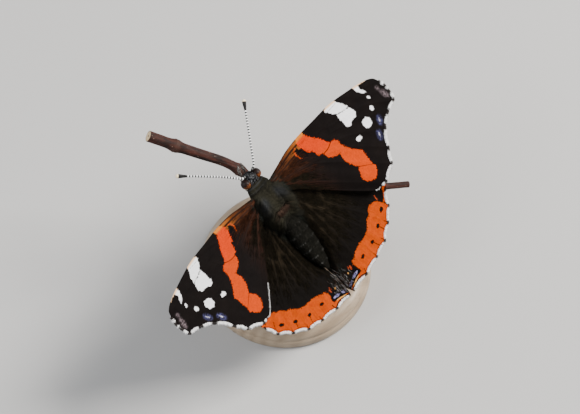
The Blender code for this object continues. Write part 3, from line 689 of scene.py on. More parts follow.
def fore_upper():
    f = Finish("forewing scales", Specular_IOR_Level=0.03)
    plane, relief, lot = scale_field(f, -20)
    x = f.part(plane, "X")
    y = f.part(plane, "Y")
    span = abs(x)
    wander = (lot - 0.5) * 0.26 + (f.noise(plane, 2.6, 3, 0.6) - 0.5) * 0.75
    streak = f.noise(f.stretch(f.vector("flow"), (5.0, 95.0, 1.0)), 1.0, 3, 0.6)
    patchy = f.noise(plane, 0.35, 3)
    root = span.rise(14.5, 3.0)
    brown = f.mix(streak.rise(0.35, 0.7), (0.0055, 0.0030, 0.0024), (0.058, 0.019, 0.009))
    dusk = f.mix(patchy, (0.0026, 0.0022, 0.0022), (0.0075, 0.0050, 0.0044))
    colour = f.mix(root * 0.85, dusk, brown)
    copper = f.mix(span.rise(7.0, 12.8), (0.080, 0.024, 0.008), (0.36, 0.100, 0.014))
    stripe = f.value("costa").rise(2.5, 1.9) * span.rise(13.8, 11.8)
    stripe = stripe * f.value("vein").rise(0.05, 0.24) * f.value("costa").rise(0.08, 0.22)
    colour = f.mix(stripe * (0.15 + streak * 1.1), colour, copper)
    colour = f.mix(cut_off(f, "hook", wander * 0.6), colour, (0.36, 0.045, 0.006))
    colour = f.mix(cut_off(f, "blotch", wander), colour, BLACK_SCALES)
    band = cut_off(f, "band", wander) * f.value("cuts").rise(0.03, 0.12)
    salmon = f.mix(y.rise(2.2, 5.2), (0.50, 0.031, 0.0), (0.48, 0.042, 0.0))
    salmon = f.mix(f.value("costa").rise(1.0, 0.3) * y.rise(1.0, -0.8), salmon, (0.50, 0.15, 0.012))
    shading = 0.74 + lot * 0.30 + f.noise(plane, 1.1, 3) * 0.24
    colour = f.mix(band, colour, f.shade(salmon, shading))
    apex = f.value("apex").rise(-0.4, 0.4) * (lot + f.noise(plane, 2.0, 3)).rise(0.75, 1.15)
    colour = f.mix(apex * 0.7, colour, f.mix(lot, (0.030, 0.022, 0.025), (0.26, 0.20, 0.215)))
    speck = lot + f.noise(plane, 2.4, 2)
    blue = f.value("blue").rise(-0.60, 0.15) * speck.rise(0.80, 1.10)
    colour = f.mix(blue * 0.8, colour, f.mix(lot, (0.012, 0.013, 0.045), (0.10, 0.10, 0.24)))
    # Painted highlight: a whitish glint is painted into the middle of each blue spot; the blue dust round it
    # is the wing's own.
    painted_glint = f.value("blue").rise(0.10, 0.30) * speck.rise(0.85, 1.05)
    colour = f.mix(painted_glint * 0.9, colour, (0.66, 0.64, 0.74))
    white = cut_off(f, "white", wander * 0.7) * f.value("cuts").rise(0.0, 0.10)
    pale = f.mix(lot, (0.80, 0.80, 0.83), (0.95, 0.95, 0.95))
    pale = f.mix(f.value("costa").rise(0.60, 0.15), pale, (0.80, 0.52, 0.30))
    colour = f.mix(white, colour, pale)
    roughness = 0.62 + lot * 0.16
    normal = f.bump(-relief + streak * 0.6 * root, 0.00002, 0.7)
    return f.done(colour, roughness, normal)


# %% Hindwing upper finish
def hind_upper():
    f = Finish("hindwing scales", Specular_IOR_Level=0.03)
    plane, relief, lot = scale_field(f, -60)
    wander = (lot - 0.5) * 0.26 + (f.noise(plane, 2.6, 3, 0.6) - 0.5) * 0.75
    flow = f.vector("flow")
    streak = f.noise(f.stretch(flow, (4.0, 120.0, 1.0)), 1.0, 3, 0.65)
    fine = f.noise(f.stretch(flow, (7.0, 260.0, 1.0)), 1.0, 2)
    s = f.part(flow, "X")
    olive = f.mix(streak.rise(0.35, 0.68), (0.0040, 0.0030, 0.0020), (0.022, 0.0155, 0.0085))
    dusk = f.mix(fine, (0.0022, 0.0018, 0.0018), (0.0062, 0.0048, 0.0038))
    colour = f.mix(s.rise(0.74, 0.40), dusk, olive)
    colour = f.mix(cut_off(f, "streaks", wander * 0.5) * 0.9, colour, (0.34, 0.045, 0.012))
    tangle = (streak - 0.5) * 1.3 * f.value("anal").rise(-3.0, 1.5)
    band = cut_off(f, "band", wander + tangle)
    left = f.part(plane, "X").rise(-0.1, 0.1)
    corner = cut_off(f, "corner", wander) * left
    band = band.most(corner)
    band = band * f.value("cuts").rise(0.05, 0.13) * (1 - cut_off(f, "dots", wander * 0.5))
    band = band * f.value("vein").rise(-0.20, 0.10)
    orange = f.mix(lot, (0.40, 0.038, 0.0), (0.50, 0.066, 0.0))
    orange = f.shade(orange, 0.66 + f.noise(plane, 0.9, 3) * 0.50)
    orange = f.mix(fine.rise(0.54, 0.66) * 0.5, orange, (0.16, 0.014, 0.0))
    colour = f.mix(band, colour, orange)
    line = f.value("margin").rise(0.34, 0.40) * f.value("margin").rise(0.50, 0.44)
    colour = f.mix(line * 0.75, colour, (0.085, 0.010, 0.0))
    dark = cut_off(f, "dark", wander * 0.7)
    colour = f.mix(dark, colour, BLACK_SCALES)
    speck = lot + f.noise(plane, 2.6, 2)
    dust = cut_off(f, "lunule", wander * 0.5) * speck.rise(0.66, 0.90)
    colour = f.mix(dust * 0.9, colour, f.mix(lot, (0.030, 0.028, 0.085), (0.27, 0.25, 0.46)))
    colour = f.mix(cut_off(f, "flecks", wander * 0.3), colour, (0.58, 0.27, 0.06))
    colour = f.mix(f.value("line").rise(0.17, 0.11), colour, BLACK_SCALES)
    colour = f.mix(f.value("margin").rise(0.14, 0.06) * 0.9, colour, BLACK_SCALES)
    colour = f.mix((f.value("ends") + wander * 0.5).rise(0.98, 0.86), colour, BLACK_SCALES)
    roughness = 0.66 + lot * 0.16
    normal = f.bump(-relief + streak * 1.2 * s.rise(0.9, 0.5), 0.00002, 0.7)
    return f.done(colour, roughness, normal)


# %% Under sides
def fore_under():
    f = Finish("forewing under scales", Specular_IOR_Level=0.05)
    plane, relief, lot = scale_field(f, -20)
    x = f.part(plane, "X")
    y = f.part(plane, "Y")
    span = abs(x)
    wander = (lot - 0.5) * 0.16 + (f.noise(plane, 3.0, 2) - 0.5) * 0.34
    marble = f.noise(f.stretch(plane, (0.8, 0.5, 1.0), -20), 1.0, 4, 0.62, 1.2)
    colour = f.mix(marble, (0.010, 0.007, 0.006), (0.035, 0.022, 0.015))
    tip = (span * 0.9 - y * 0.35).rise(24.0, 29.0)
    mottled = f.mix(marble.rise(0.38, 0.62), (0.060, 0.036, 0.022), (0.22, 0.155, 0.105))
    colour = f.mix(tip, colour, mottled)
    band = cut_off(f, "band", wander)
    pink = f.mix(y.rise(3.0, 11.0), (0.72, 0.085, 0.060), (0.66, 0.20, 0.075))
    colour = f.mix(band, colour, f.shade(pink, 0.8 + lot * 0.3))
    ring = cut_off(f, "ring", wander * 0.6) * (lot + marble).rise(0.6, 0.9)
    colour = f.mix(ring * 0.8, colour, (0.16, 0.20, 0.36))
    white = cut_off(f, "white", wander * 0.8)
    colour = f.mix(white * 0.92, colour, f.mix(lot, (0.62, 0.58, 0.54), (0.82, 0.80, 0.76)))
    blue = f.value("blue").rise(-0.3, 0.4) * lot.rise(0.3, 0.7)
    colour = f.mix(blue * 0.5, colour, (0.24, 0.22, 0.30))
    bars = f.node("ShaderNodeTexWave", {"wave_type": "BANDS", "bands_direction": "X"},
                  {"Vector": plane, "Scale": 0.55, "Distortion": 1.5, "Detail": 2.0})
    edge = f.value("costa").rise(1.5, 0.9) * span.rise(13.0, 9.0)
    colour = f.mix(edge * bars.rise(0.35, 0.65) * 0.8, colour, (0.20, 0.145, 0.10))
    veins = f.value("vein").rise(0.22, 0.06)
    colour = f.mix(veins * 0.5, colour, (0.055, 0.036, 0.024))
    return f.done(colour, 0.70 + lot * 0.14, f.bump(-relief, 0.00002, 0.6))


def hind_under():
    f = Finish("hindwing under scales", Specular_IOR_Level=0.05)
    plane, relief, lot = scale_field(f, -60)
    marble = f.noise(f.stretch(plane, (0.42, 0.26, 1.0), -60), 1.0, 5, 0.62, 2.2)
    lines = f.noise(f.stretch(plane, (2.2, 0.9, 1.0), -60), 1.0, 3, 0.6, 1.5)
    colour = f.mix(marble.rise(0.36, 0.62), (0.020, 0.013, 0.009), (0.13, 0.085, 0.052))
    colour = f.mix(lines.rise(0.56, 0.64) * 0.7, colour, (0.30, 0.225, 0.16))
    colour = f.mix(marble.rise(0.60, 0.70), colour, (0.20, 0.165, 0.12))
    moss = f.noise(plane, 0.22, 3).rise(0.52, 0.66)
    colour = f.mix(moss * 0.45, colour, (0.070, 0.072, 0.040))
    colour = f.mix(cut_off(f, "pale", (marble - 0.5) * 1.6) * 0.7, colour, (0.36, 0.29, 0.21))
    eyes = f.value("eyespots")
    colour = f.mix(eyes.rise(-0.25, -0.05) * 0.8, colour, (0.24, 0.17, 0.10))
    colour = f.mix(eyes.rise(0.05, 0.15), colour, (0.012, 0.010, 0.012))
    colour = f.mix(eyes.rise(0.36, 0.46) * 0.8, colour, (0.12, 0.15, 0.24))
    colour = f.mix(f.value("margin").rise(0.75, 0.35) * 0.6, colour, (0.19, 0.14, 0.095))
    veins = f.value("vein").rise(0.20, 0.06)
    colour = f.mix(veins * 0.6, colour, (0.085, 0.055, 0.034))
    colour = f.shade(colour, 0.75 + lot * 0.5)
    return f.done(colour, 0.72 + lot * 0.14, f.bump(-relief, 0.00002, 0.6))


# %% The four wings
fore_plan, fore_edge = wing_plan(FORE_COSTA, FORE_VEIN_ENDS, FORE_INNER)
hind_plan, hind_edge = wing_plan(HIND_COSTA, HIND_VEIN_ENDS, HIND_INNER)


def depth_in(loops):
    """What a point keeps: its depth in the loops."""
    return lambda points: patch_depth(points, loops)


def gap_to(lines, samples):
    """What a point keeps: its distance to the nearest of some smoothed lines."""
    return lambda points: np.min([gap_to_line(points, curve_through(line, samples))
                                  for line in lines], axis=0)


fore_paints = {
    "band": depth_in([FORE_BAND]),
    "white": depth_in(FORE_WHITE),
    "blue": depth_in(FORE_BLUE),
    "cuts": gap_to(FORE_CUTS, 6),
    "blotch": depth_in(FORE_BLOTCH),
    "hook": depth_in(FORE_HOOK),
    "apex": depth_in(FORE_APEX),
    "ring": lambda points: 0.28 - np.abs(patch_depth(points, [spot(15.0, 1.2, 1.1, 1.3)])),
}
hind_paints = {
    "band": depth_in(HIND_BAND),
    "dots": depth_in(HIND_DOTS),
    "lunule": depth_in(HIND_LUNULE),
    "dark": depth_in(HIND_DARK),
    "cuts": gap_to(HIND_CUTS, 6),
    "corner": depth_in(HIND_CORNER),
    "line": gap_to([HIND_LINE], 16),
    "anal": lambda points: 6.0 - points[:, 0],
    "streaks": depth_in(HIND_STREAKS),
    "flecks": depth_in([spot(2.2, 26.4, 0.17, 0.22), spot(2.5, 28.72, 1.4, 0.13, -17)]),
    "pale": depth_in([spot(13.5, 9.8, 2.4, 1.2, 45)]),
    "eyespots": depth_in(HIND_EYESPOTS),
}
fore_finishes = [fore_upper(), fore_under()]
hind_finishes = [hind_upper(), hind_under()]
fore_relief, fore_kept = wing_numbers(fore_plan, FORE_VEIN_ENDS, FORE_VEINS, fore_paints)
hind_relief, hind_kept = wing_numbers(hind_plan, HIND_VEIN_ENDS, HIND_VEINS, hind_paints)
for side, word in SIDES:
    make_wing(f"forewing_{word}", side, fore_plan, fore_height, fore_relief, fore_kept, fore_finishes)
    make_wing(f"hindwing_{word}", side, hind_plan, hind_height, hind_relief, hind_kept, hind_finishes)
print("Wings after", round(time.time() - started, 1), "s")

# %% [markdown]
# ## Hair and fringe
# Fur could be a particle system, but the export keeps only meshes. Each hair here is a slim
# three-sided spike of ten triangles, bent a little, and thousands of them are one mesh worked
# out in a single sweep of array maths. Their bake map keeps each hair as a tiny patch where
# its root lies on an unwrap of the skin.

# %% Spikes in one sweep
HAIR_POINTS = 7


def spikes(roots, along, up, lengths, widths, flat=0.5, bend=0.0):
    """Two rings and a tip: root + length (t along + bend t^2 up), width falling to nothing."""
    count = len(roots)
    lengths = np.broadcast_to(lengths, count)[:, None]
    widths = np.broadcast_to(widths, count)[:, None]
    bend = np.broadcast_to(bend, count)[:, None]
    along = unit(along)
    across = unit(np.cross(along, up))
    lift = np.cross(across, along)
    corners = [(-1.0, -0.5), (1.0, -0.5), (0.0, 1.0)]
    rings = []
    for t, slim in ((0.0, 0.8), (0.5, 1.0)):
        centre = roots + lengths * (along * t + lift * bend * t * t)
        rings += [centre + widths * slim * 0.5 * (across * a + lift * b * flat) for a, b in corners]
    tip = roots + lengths * (along + lift * bend)
    points = np.stack(rings + [tip], 1)
    sides = [(0, 1, 4), (0, 4, 3), (1, 2, 5), (1, 5, 4), (2, 0, 3), (2, 3, 5),
             (3, 4, 6), (4, 5, 6), (5, 3, 6), (0, 2, 1)]
    faces = np.asarray(sides)[None] + (np.arange(count) * HAIR_POINTS)[:, None, None]
    return points.reshape(-1, 3), faces.reshape(-1, 3)


TUFT_PATCH = np.array([(-1, -1), (1, -1), (0, -0.6), (-0.8, 0.2), (0.8, 0.2), (0, 0.4), (0, 1)]) * 0.0014


def tuft_map(places):
    """Each hair's seven points as a patch 0.003 across about its root's place on the unwrap."""
    return (np.asarray(places)[:, None] + TUFT_PATCH[None]).reshape(-1, 2)


def per_hair(numbers):
    """A number of each hair, repeated for its seven points."""
    return np.repeat(np.asarray(numbers), HAIR_POINTS, axis=0)


def tube_hairs(path, rings, row, column, step, lean, sink, lengths, widths, flat, bend):
    """Hairs on a tube, each along the path for some rows, plus a lean away from its middle."""
    root = rings[row, column]
    out = unit(root - path[row])
    ahead = np.minimum(row + step, len(path) - 1)
    along = unit(path[ahead] - path[row]) + out * np.reshape(lean, (-1, 1))
    return spikes(root - out * sink, along, out, lengths, widths, flat, bend)


# %% [markdown]
# ## Fringes
# Long scales stand out round every wing: white in the hollows between the veins and black at the
# vein ends. They could be painted on the sheet, but the ragged outline shows against the floor.

# %% Fringe finish
def fringe_finish():
    f = Finish("fringe scales", Roughness=0.65, Specular_IOR_Level=0.3)
    lot = f.value("lot")
    dark = f.mix(lot, (0.006, 0.005, 0.005), (0.022, 0.014, 0.010))
    white = f.mix(lot, (0.80, 0.79, 0.78), (0.95, 0.95, 0.94))
    colour = f.mix(f.value("tone"), dark, white)
    return f.done(f.shade(colour, 0.9 + f.value("along") * 0.15))


# %% Fringe pieces
FRINGE_STEP = 0.045
FRINGE_SAMPLES = 2000


def smooth_step(low, high, value):
    """0 below low, 1 above high, and smooth between."""
    t = np.clip((value - low) / (high - low), 0, 1)
    return t * t * (3 - 2 * t)


def make_fringe(name, side, ends, edge, height, dark_reach, size, seed):
    """Blades square to the edge, two rows deep, their tone set by how near a vein end they are."""
    rng = np.random.default_rng(seed)
    reach = np.linalg.norm(np.diff(edge, axis=0), axis=1).sum()
    count = int(reach / FRINGE_STEP) * 2
    line = even(edge, FRINGE_SAMPLES)
    last = FRINGE_SAMPLES - 1
    pick = np.clip((np.arange(count) + rng.uniform(-0.4, 0.4, count)) / count, 0, 0.9995) * last
    run = unit(np.gradient(line, axis=0))
    x, y, run_x, run_y = read_table(np.column_stack([np.arange(FRINGE_SAMPLES), line, run]), pick)
    base = np.stack([x, y], 1)
    outward = unit(np.stack([run_y, -run_x], 1) + rng.normal(0, 0.10, (count, 2)))
    ends = np.asarray(ends)
    gap = np.min(np.linalg.norm(base[:, None] - ends[None], axis=2), axis=1) - MEMBRANE_INSET
    lot = rng.uniform(0, 1, count)
    tone = smooth_step(dark_reach - 0.12, dark_reach + 0.12, gap + rng.normal(0, 0.07, count))
    level = rng.integers(0, 2, count)
    start = base - outward * rng.uniform(0.05, 0.28, count)[:, None]
    lengths = size * (rng.uniform(0.36, 0.50, count) + rng.uniform(0.24, 0.36, count) * tone)
    z = height(start[:, 0], start[:, 1]) + 0.05 * (level * 2 - 1)
    roots = np.column_stack([start * (side, 1), z])
    ahead = start + outward * 0.3
    climb = (height(ahead[:, 0], ahead[:, 1]) - height(start[:, 0], start[:, 1])) / 0.3
    along = np.column_stack([outward * (side, 1), climb - 0.08 + rng.normal(0, 0.05, count)])
    up = np.tile((0, 0, 1.0), (count, 1))
    points, faces = spikes(roots, along, up, lengths, size * rng.uniform(0.10, 0.18, count), 0.25, -0.04)
    values = {"tone": per_hair(tone), "lot": per_hair(lot),
              "along": np.tile([0, 0, 0, 0.5, 0.5, 0.5, 1.0], count)}
    places = np.column_stack([0.03 + 0.94 * pick / last, 0.3 + 0.4 * level])
    return make_piece(name, points, [], faces, [FRINGE], "wing", (), values, bake_map=tuft_map(places))


FRINGE = fringe_finish()
for side, word in SIDES:
    make_fringe(f"forewing_fringe_{word}", side, FORE_VEIN_ENDS, fore_edge, fore_height, 0.36, 1.0,
                10 + side)
    make_fringe(f"hindwing_fringe_{word}", side, HIND_VEIN_ENDS, hind_edge, hind_height, 0.34, 0.85,
                20 + side)
    fore_rear = fore_plan[::-1, -1][fore_plan[::-1, -1, 0] > 15.5 - 2.2 * side]
    make_fringe(f"forewing_rear_fringe_{word}", side, [(0.0, 0.0)], fore_rear, fore_height, 0.36, 0.30,
                30 + side)

# %% [markdown]
# ## The body
# Head, thorax and abdomen are three solids in the frame, but fur covers the joins on the animal,
# so one skin replaces them. It is a loft: upright ellipses whose width, height and middle run
# smoothly through a few rows, set in from the solids by the length of the coat.

# %% Skin rows and relief
SKIN_ROWS = [
    (-4.86, 0.15, 0.15, -0.76), (-4.75, 0.65, 0.62, -0.74), (-4.30, 1.22, 1.12, -0.60),
    (-3.40, 1.66, 1.44, -0.50), (-2.80, 1.66, 1.30, -0.50), (-2.40, 1.68, 1.12, -0.55),
    (-2.00, 2.00, 1.28, -0.62), (-1.60, 2.32, 1.52, -0.67), (-0.90, 2.56, 1.82, -0.74),
    (0.40, 2.78, 2.22, -0.90), (2.20, 2.90, 2.48, -1.00), (4.40, 2.72, 2.46, -1.10),
    (6.20, 2.08, 2.02, -1.20), (7.60, 1.50, 1.42, -1.28), (8.30, 1.52, 1.50, -1.34),
    (9.80, 2.02, 2.02, -1.50), (13.1, 2.28, 2.28, -1.86), (16.0, 2.10, 2.10, -2.18),
    (18.9, 1.55, 1.55, -2.50), (21.0, 0.90, 0.90, -2.74), (22.1, 0.42, 0.42, -2.86),
    (22.42, 0.12, 0.12, -2.89),
]
SKIN_SIDES = 80
ABDOMEN_FRONT = 8.1
ABDOMEN_SEGMENTS = 7
SEGMENT_LENGTH = (22.5 - ABDOMEN_FRONT) / ABDOMEN_SEGMENTS
EYE_CENTRE = (1.72, -3.28, -0.28)
EYE_RADII = (0.98, 1.08, 1.15)
SKIN_TABLE = curve_through(SKIN_ROWS, 400)


def segment_phase(y):
    """How far along its abdomen segment a point is, from 0 at the front to 1 at the rear edge."""
    return np.where(y > ABDOMEN_FRONT, ((y - ABDOMEN_FRONT) / SEGMENT_LENGTH) % 1.0, 0.0)


def hump(value, middle, width):
    """A bell of height 1: exp of -((value - middle) / width) squared."""
    return np.exp(-((value - middle) / width) ** 2)


def skin_relief(y, turn):
    """Lumps in millimetres: collar, shoulder plates, a groove down the back, and segment edges."""
    top = np.sin(turn)
    aside = np.abs(np.cos(turn))
    collar = 0.14 * hump(y, -1.85, 0.20) + 0.12 * hump(y, -1.05, 0.22)
    collar = collar * smooth_step(-0.2, 0.5, top)
    plates = 0.30 * hump(y, 1.1, 1.3) * hump(aside, 0.80, 0.20)
    plates = plates * smooth_step(0.1, 0.4, top)
    groove = -0.07 * hump(np.cos(turn), 0, 0.08) * smooth_step(-0.3, 0.6, y) * smooth_step(5.6, 4.8, y)
    furrow = -0.20 * hump(y, 5.35, 0.22) * smooth_step(0.3, 0.8, top)
    scutellum = 0.18 * hump(y, 6.0, 0.55) * smooth_step(0.55, 0.9, top)
    steps = 0.11 * segment_phase(y) ** 2 * smooth_step(22.3, 19.0, y)
    return collar + plates + groove + furrow + scutellum + steps


def skin_point(y, turn):
    """Ellipse of the rows at y, pushed out by the relief."""
    half_width, half_height, middle = read_table(SKIN_TABLE, y)
    lump = skin_relief(y, turn)
    across = (half_width + lump) * np.cos(turn)
    return np.stack([across, y, middle + (half_height + lump) * np.sin(turn)], -1)


def painted_sheen(y, turn):
    """1 where a bluish sheen is painted on: two patches of the back and along the collar, 0 elsewhere."""
    patch = hump(np.abs(np.cos(turn)), 0.62, 0.22) * hump(y, 2.2, 1.3)
    collar = hump(y, -1.85, 0.14) + 0.5 * hump(y, -1.05, 0.12)
    return np.where(np.sin(turn) > 0, np.clip(patch + collar, 0, 1), 0)


def skin_normal(y, turn):
    """Cross product of the two slopes of the skin, pointing out."""
    step = 0.02
    lengthwise = skin_point(y + step, turn) - skin_point(y - step, turn)
    round_it = skin_point(y, turn + step) - skin_point(y, turn - step)
    return unit(np.cross(round_it, lengthwise))


print("Skin half width at the shoulders:", round(float(skin_point(np.array(2.0), np.array(0.0))[0]), 2))


# %% [markdown]
# ## Colours of the body
# The fur is dark grey-green with an olive cast, with a bluish sheen painted on two patches of the
# back and along the collar, browner on the last plate of the thorax, and almost black on the
# abdomen with pale segment edges. One function gives the colours to both skin and hair, so that
# the markings run through.

# %% Body finish
def body_finish(name, hair):
    f = Finish(name, Specular_IOR_Level=0.06)
    y = f.value("along")
    up = f.value("rise")
    lot = f.value("lot") if hair else f.noise(f.place(), 900.0, 2)
    place = f.place()
    broad = f.noise(place, 420.0, 3)
    thorax = f.mix(broad.rise(0.36, 0.62), (0.0070, 0.0066, 0.0042), (0.019, 0.0175, 0.0105))
    thorax = f.mix(lot.power(2.0) * 0.75, thorax, (0.054, 0.049, 0.034))
    # Painted sheen: a bluish sheen is painted into the colour of the fur on the top patches.
    sheen = f.value("painted_sheen") * (0.4 + lot * 0.6)
    thorax = f.mix(sheen * 0.8, thorax, (0.038, 0.041, 0.046))
    head = f.mix(lot.rise(0.55, 0.95), (0.006, 0.006, 0.007), (0.26, 0.265, 0.27))
    belly = f.mix(lot, (0.080, 0.068, 0.050), (0.17, 0.150, 0.115))
    dark = f.mix(broad, (0.0036, 0.0034, 0.0024), (0.0095, 0.0088, 0.0062))
    colour = f.mix(y.rise(-2.1, -2.4), thorax, head)
    plate = y.rise(5.0, 5.3) * y.rise(7.4, 6.2) * up.rise(0.72, 0.90)
    colour = f.mix(plate * 0.75, colour, f.mix(lot, (0.022, 0.011, 0.008), (0.095, 0.052, 0.036)))
    colour = f.mix(y.rise(7.0, 8.6), colour, f.mix(lot.power(3.0) * 0.7, dark, (0.036, 0.034, 0.027)))
    lines = f.value("segment").rise(0.84, 0.95) * y.rise(8.0, 13.0) * up.rise(0.985, 0.90)
    colour = f.mix(lines * lot.rise(0.30, 0.85) * 0.8, colour, (0.165, 0.162, 0.150))
    colour = f.mix(up.rise(-0.15, -0.55) * y.rise(-1.6, 0.0), colour, belly)
    normal = None if hair else f.bump(f.noise(place, 9000.0, 3), 0.00003, 0.6)
    return f.done(colour, 0.55 + lot * 0.25, normal)


# %% Body skin
def make_skin():
    """Rings of the loft, closer together on the head, closed at both ends."""
    front, neck, tail = SKIN_ROWS[0][0], -1.5, SKIN_ROWS[-1][0]
    y = np.concatenate([np.linspace(front, neck, 56, endpoint=False), np.linspace(neck, tail, 224)])
    turn = round_turns(SKIN_SIDES)
    rows, turns = np.meshgrid(y, turn, indexing="ij")
    points, quads, triangles = close_rings(skin_point(rows, turns))
    ends = np.array([y[0], y[-1]])
    values = {"along": np.r_[rows.ravel(), ends], "rise": np.r_[np.sin(turns).ravel(), 0, 0],
              "segment": np.r_[segment_phase(rows).ravel(), 0, 0],
              "painted_sheen": np.r_[painted_sheen(rows, turns).ravel(), 0, 0]}
    return make_piece("body_skin", points, quads[:, ::-1], triangles[:, ::-1],
                      [body_finish("body skin", False)], "body_hair", ["head", "thorax", "abdomen"],
                      values)


make_skin()

# %% [markdown]
# ## The coat
# Hair on the thorax is dense and half a millimetre to one and a half long. At the shoulders it is
# up to three long and combed back over the wing roots. On the abdomen it is short and flat, and on
# the head it stands up between the eyes.

# %% Coat pieces
def grow(name, count, span, length, lean, width, seed, keep=None, spread=0.0, droop=0.0):
    """Hairs at random on the skin between two values of y, leaning back and spreading sideways."""
    rng = np.random.default_rng(seed)
    y = rng.uniform(*span, count)
    turn = rng.uniform(0, 2 * math.pi, count)
    half = read_table(SKIN_TABLE, y)[0]
    chosen = rng.uniform(0, half.max(), count) < half
    if keep is not None:
        chosen &= keep(y, turn)
    y, turn = y[chosen], turn[chosen]
    count = len(y)
    roots, normal = skin_point(y, turn), skin_normal(y, turn)
    back = unit(skin_point(y + 0.05, turn) - skin_point(y - 0.05, turn))
    sideways = unit(np.cross(normal, back))
    stand = lean(y, turn)[:, None]
    clump = np.sin(9 * turn + 3 * np.sin(2.3 * y)) * np.sin(4.1 * y + 2 * np.cos(5 * turn))
    along = back * (1 - stand) + normal * stand
    along = along + sideways * (rng.normal(0, 0.16, count) + 0.14 * clump)[:, None]
    outward = np.column_stack([np.sign(roots[:, 0]), np.zeros(count), np.full(count, -0.08)])
    along = unit(along) + spread * outward
    lengths = length(y, turn) * rng.uniform(0.6, 1.15, count)
    points, faces = spikes(roots - normal * 0.05, along, normal, lengths,
                           width * rng.uniform(0.7, 1.2, count), 0.6,
                           -droop + rng.uniform(-0.25, 0.0, count))
    girth = read_table(SKIN_TABLE, y)[0] * 2 * math.pi
    size = span[1] - span[0]
    scale = 0.9 / max(size, girth.max())
    places = np.column_stack([0.5 + (turn / (2 * math.pi) - 0.5) * girth * scale,
                              0.05 + (y - span[0]) * scale])
    values = {"along": per_hair(y), "rise": per_hair(np.sin(turn)), "segment": per_hair(segment_phase(y)),
              "painted_sheen": per_hair(painted_sheen(y, turn)),
              "lot": per_hair(0.2 + 0.2 * clump + 0.6 * rng.uniform(0, 1, count))}
    return make_piece(name, points, [], faces, [FUR], "body_hair", (), values, bake_map=tuft_map(places))


def clear_of_eyes(y, turn):
    """No hair inside the eye balls."""
    here = skin_point(y, turn) * (np.sign(np.cos(turn))[:, None] * (1, 0, 0) + (0, 1, 1))
    return np.linalg.norm((here - EYE_CENTRE) / EYE_RADII, axis=1) > 1.02


FUR = body_finish("body hair", True)
grow("coat_head", 15000, (-4.8, -2.0), lambda y, a: 0.50 + 0.15 * np.sin(a), lambda y, a: 0.50 + 0 * y,
     0.055, 31, clear_of_eyes)
grow("coat_thorax_front", 20000, (-2.3, 3.2), lambda y, a: 0.80 + 0.35 * (np.sin(a) < 0),
     lambda y, a: 0.34 + 0.3 * smooth_step(-1.0, -2.0, y), 0.065, 32, spread=0.15)
grow("coat_thorax_rear", 21000, (3.2, 8.4), lambda y, a: 1.10 + 0.35 * (np.sin(a) < 0),
     lambda y, a: 0.30 + 0 * y, 0.07, 33, spread=0.15)
grow("coat_shoulders", 42000, (0.4, 8.6), lambda y, a: 1.75 + 1.0 * smooth_step(1.0, 5.0, y),
     lambda y, a: 0.28 + 0 * y, 0.06, 35, lambda y, a: (np.abs(np.cos(a)) > 0.60) & (np.sin(a) > 0.12),
     1.1, 0.10)
grow("coat_abdomen", 24000, (7.8, 22.3), lambda y, a: 0.72 - 0.012 * y, lambda y, a: 0.20 + 0 * y, 0.055, 34,
     spread=0.20)
print("Coat after", round(time.time() - started, 1), "s")


# %% [markdown]
# ## Hair on the wings
# Long hair runs from the wing roots over the disc of the hindwings and lies almost flat, all
# combed towards the margin. It hides the gap by the body and gives the wings their soft brown.

# %% Wing hair
def wing_hair_finish():
    f = Finish("wing hair", Specular_IOR_Level=0.05)
    lot, kind = f.value("lot"), f.value("kind")
    olive = f.mix(lot.power(1.6), (0.0046, 0.0036, 0.0020), (0.0150, 0.0110, 0.0055))
    rust = f.mix(lot.power(1.6), (0.009, 0.0038, 0.0022), (0.058, 0.018, 0.007))
    green = f.mix(lot, (0.005, 0.0055, 0.004), (0.026, 0.030, 0.026))
    straw = f.mix(lot, (0.10, 0.095, 0.09), (0.55, 0.53, 0.52))
    colour = f.mix(kind.rise(0.02, 0.12), green, olive)
    colour = f.mix(kind.rise(0.2, 0.45), colour, rust)
    colour = f.mix(kind.rise(0.6, 0.9), colour, straw)
    return f.done(colour, 0.6 + lot * 0.2)


def on_grid(plan, row, column):
    """A place between grid points: both straight blends of the four points round it."""
    row = np.clip(row, 0, WING_ROWS - 1.001)
    column = np.clip(column, 0, WING_COLUMNS - 1.001)
    i, j = row.astype(int), column.astype(int)
    u, v = (row - i)[:, None], (column - j)[:, None]
    near = (1 - v) * plan[i, j] + v * plan[i, j + 1]
    far = (1 - v) * plan[i + 1, j] + v * plan[i + 1, j + 1]
    return (1 - u) * near + u * far


HAIR_AHEAD = 6
MARGIN_ROWS = 8


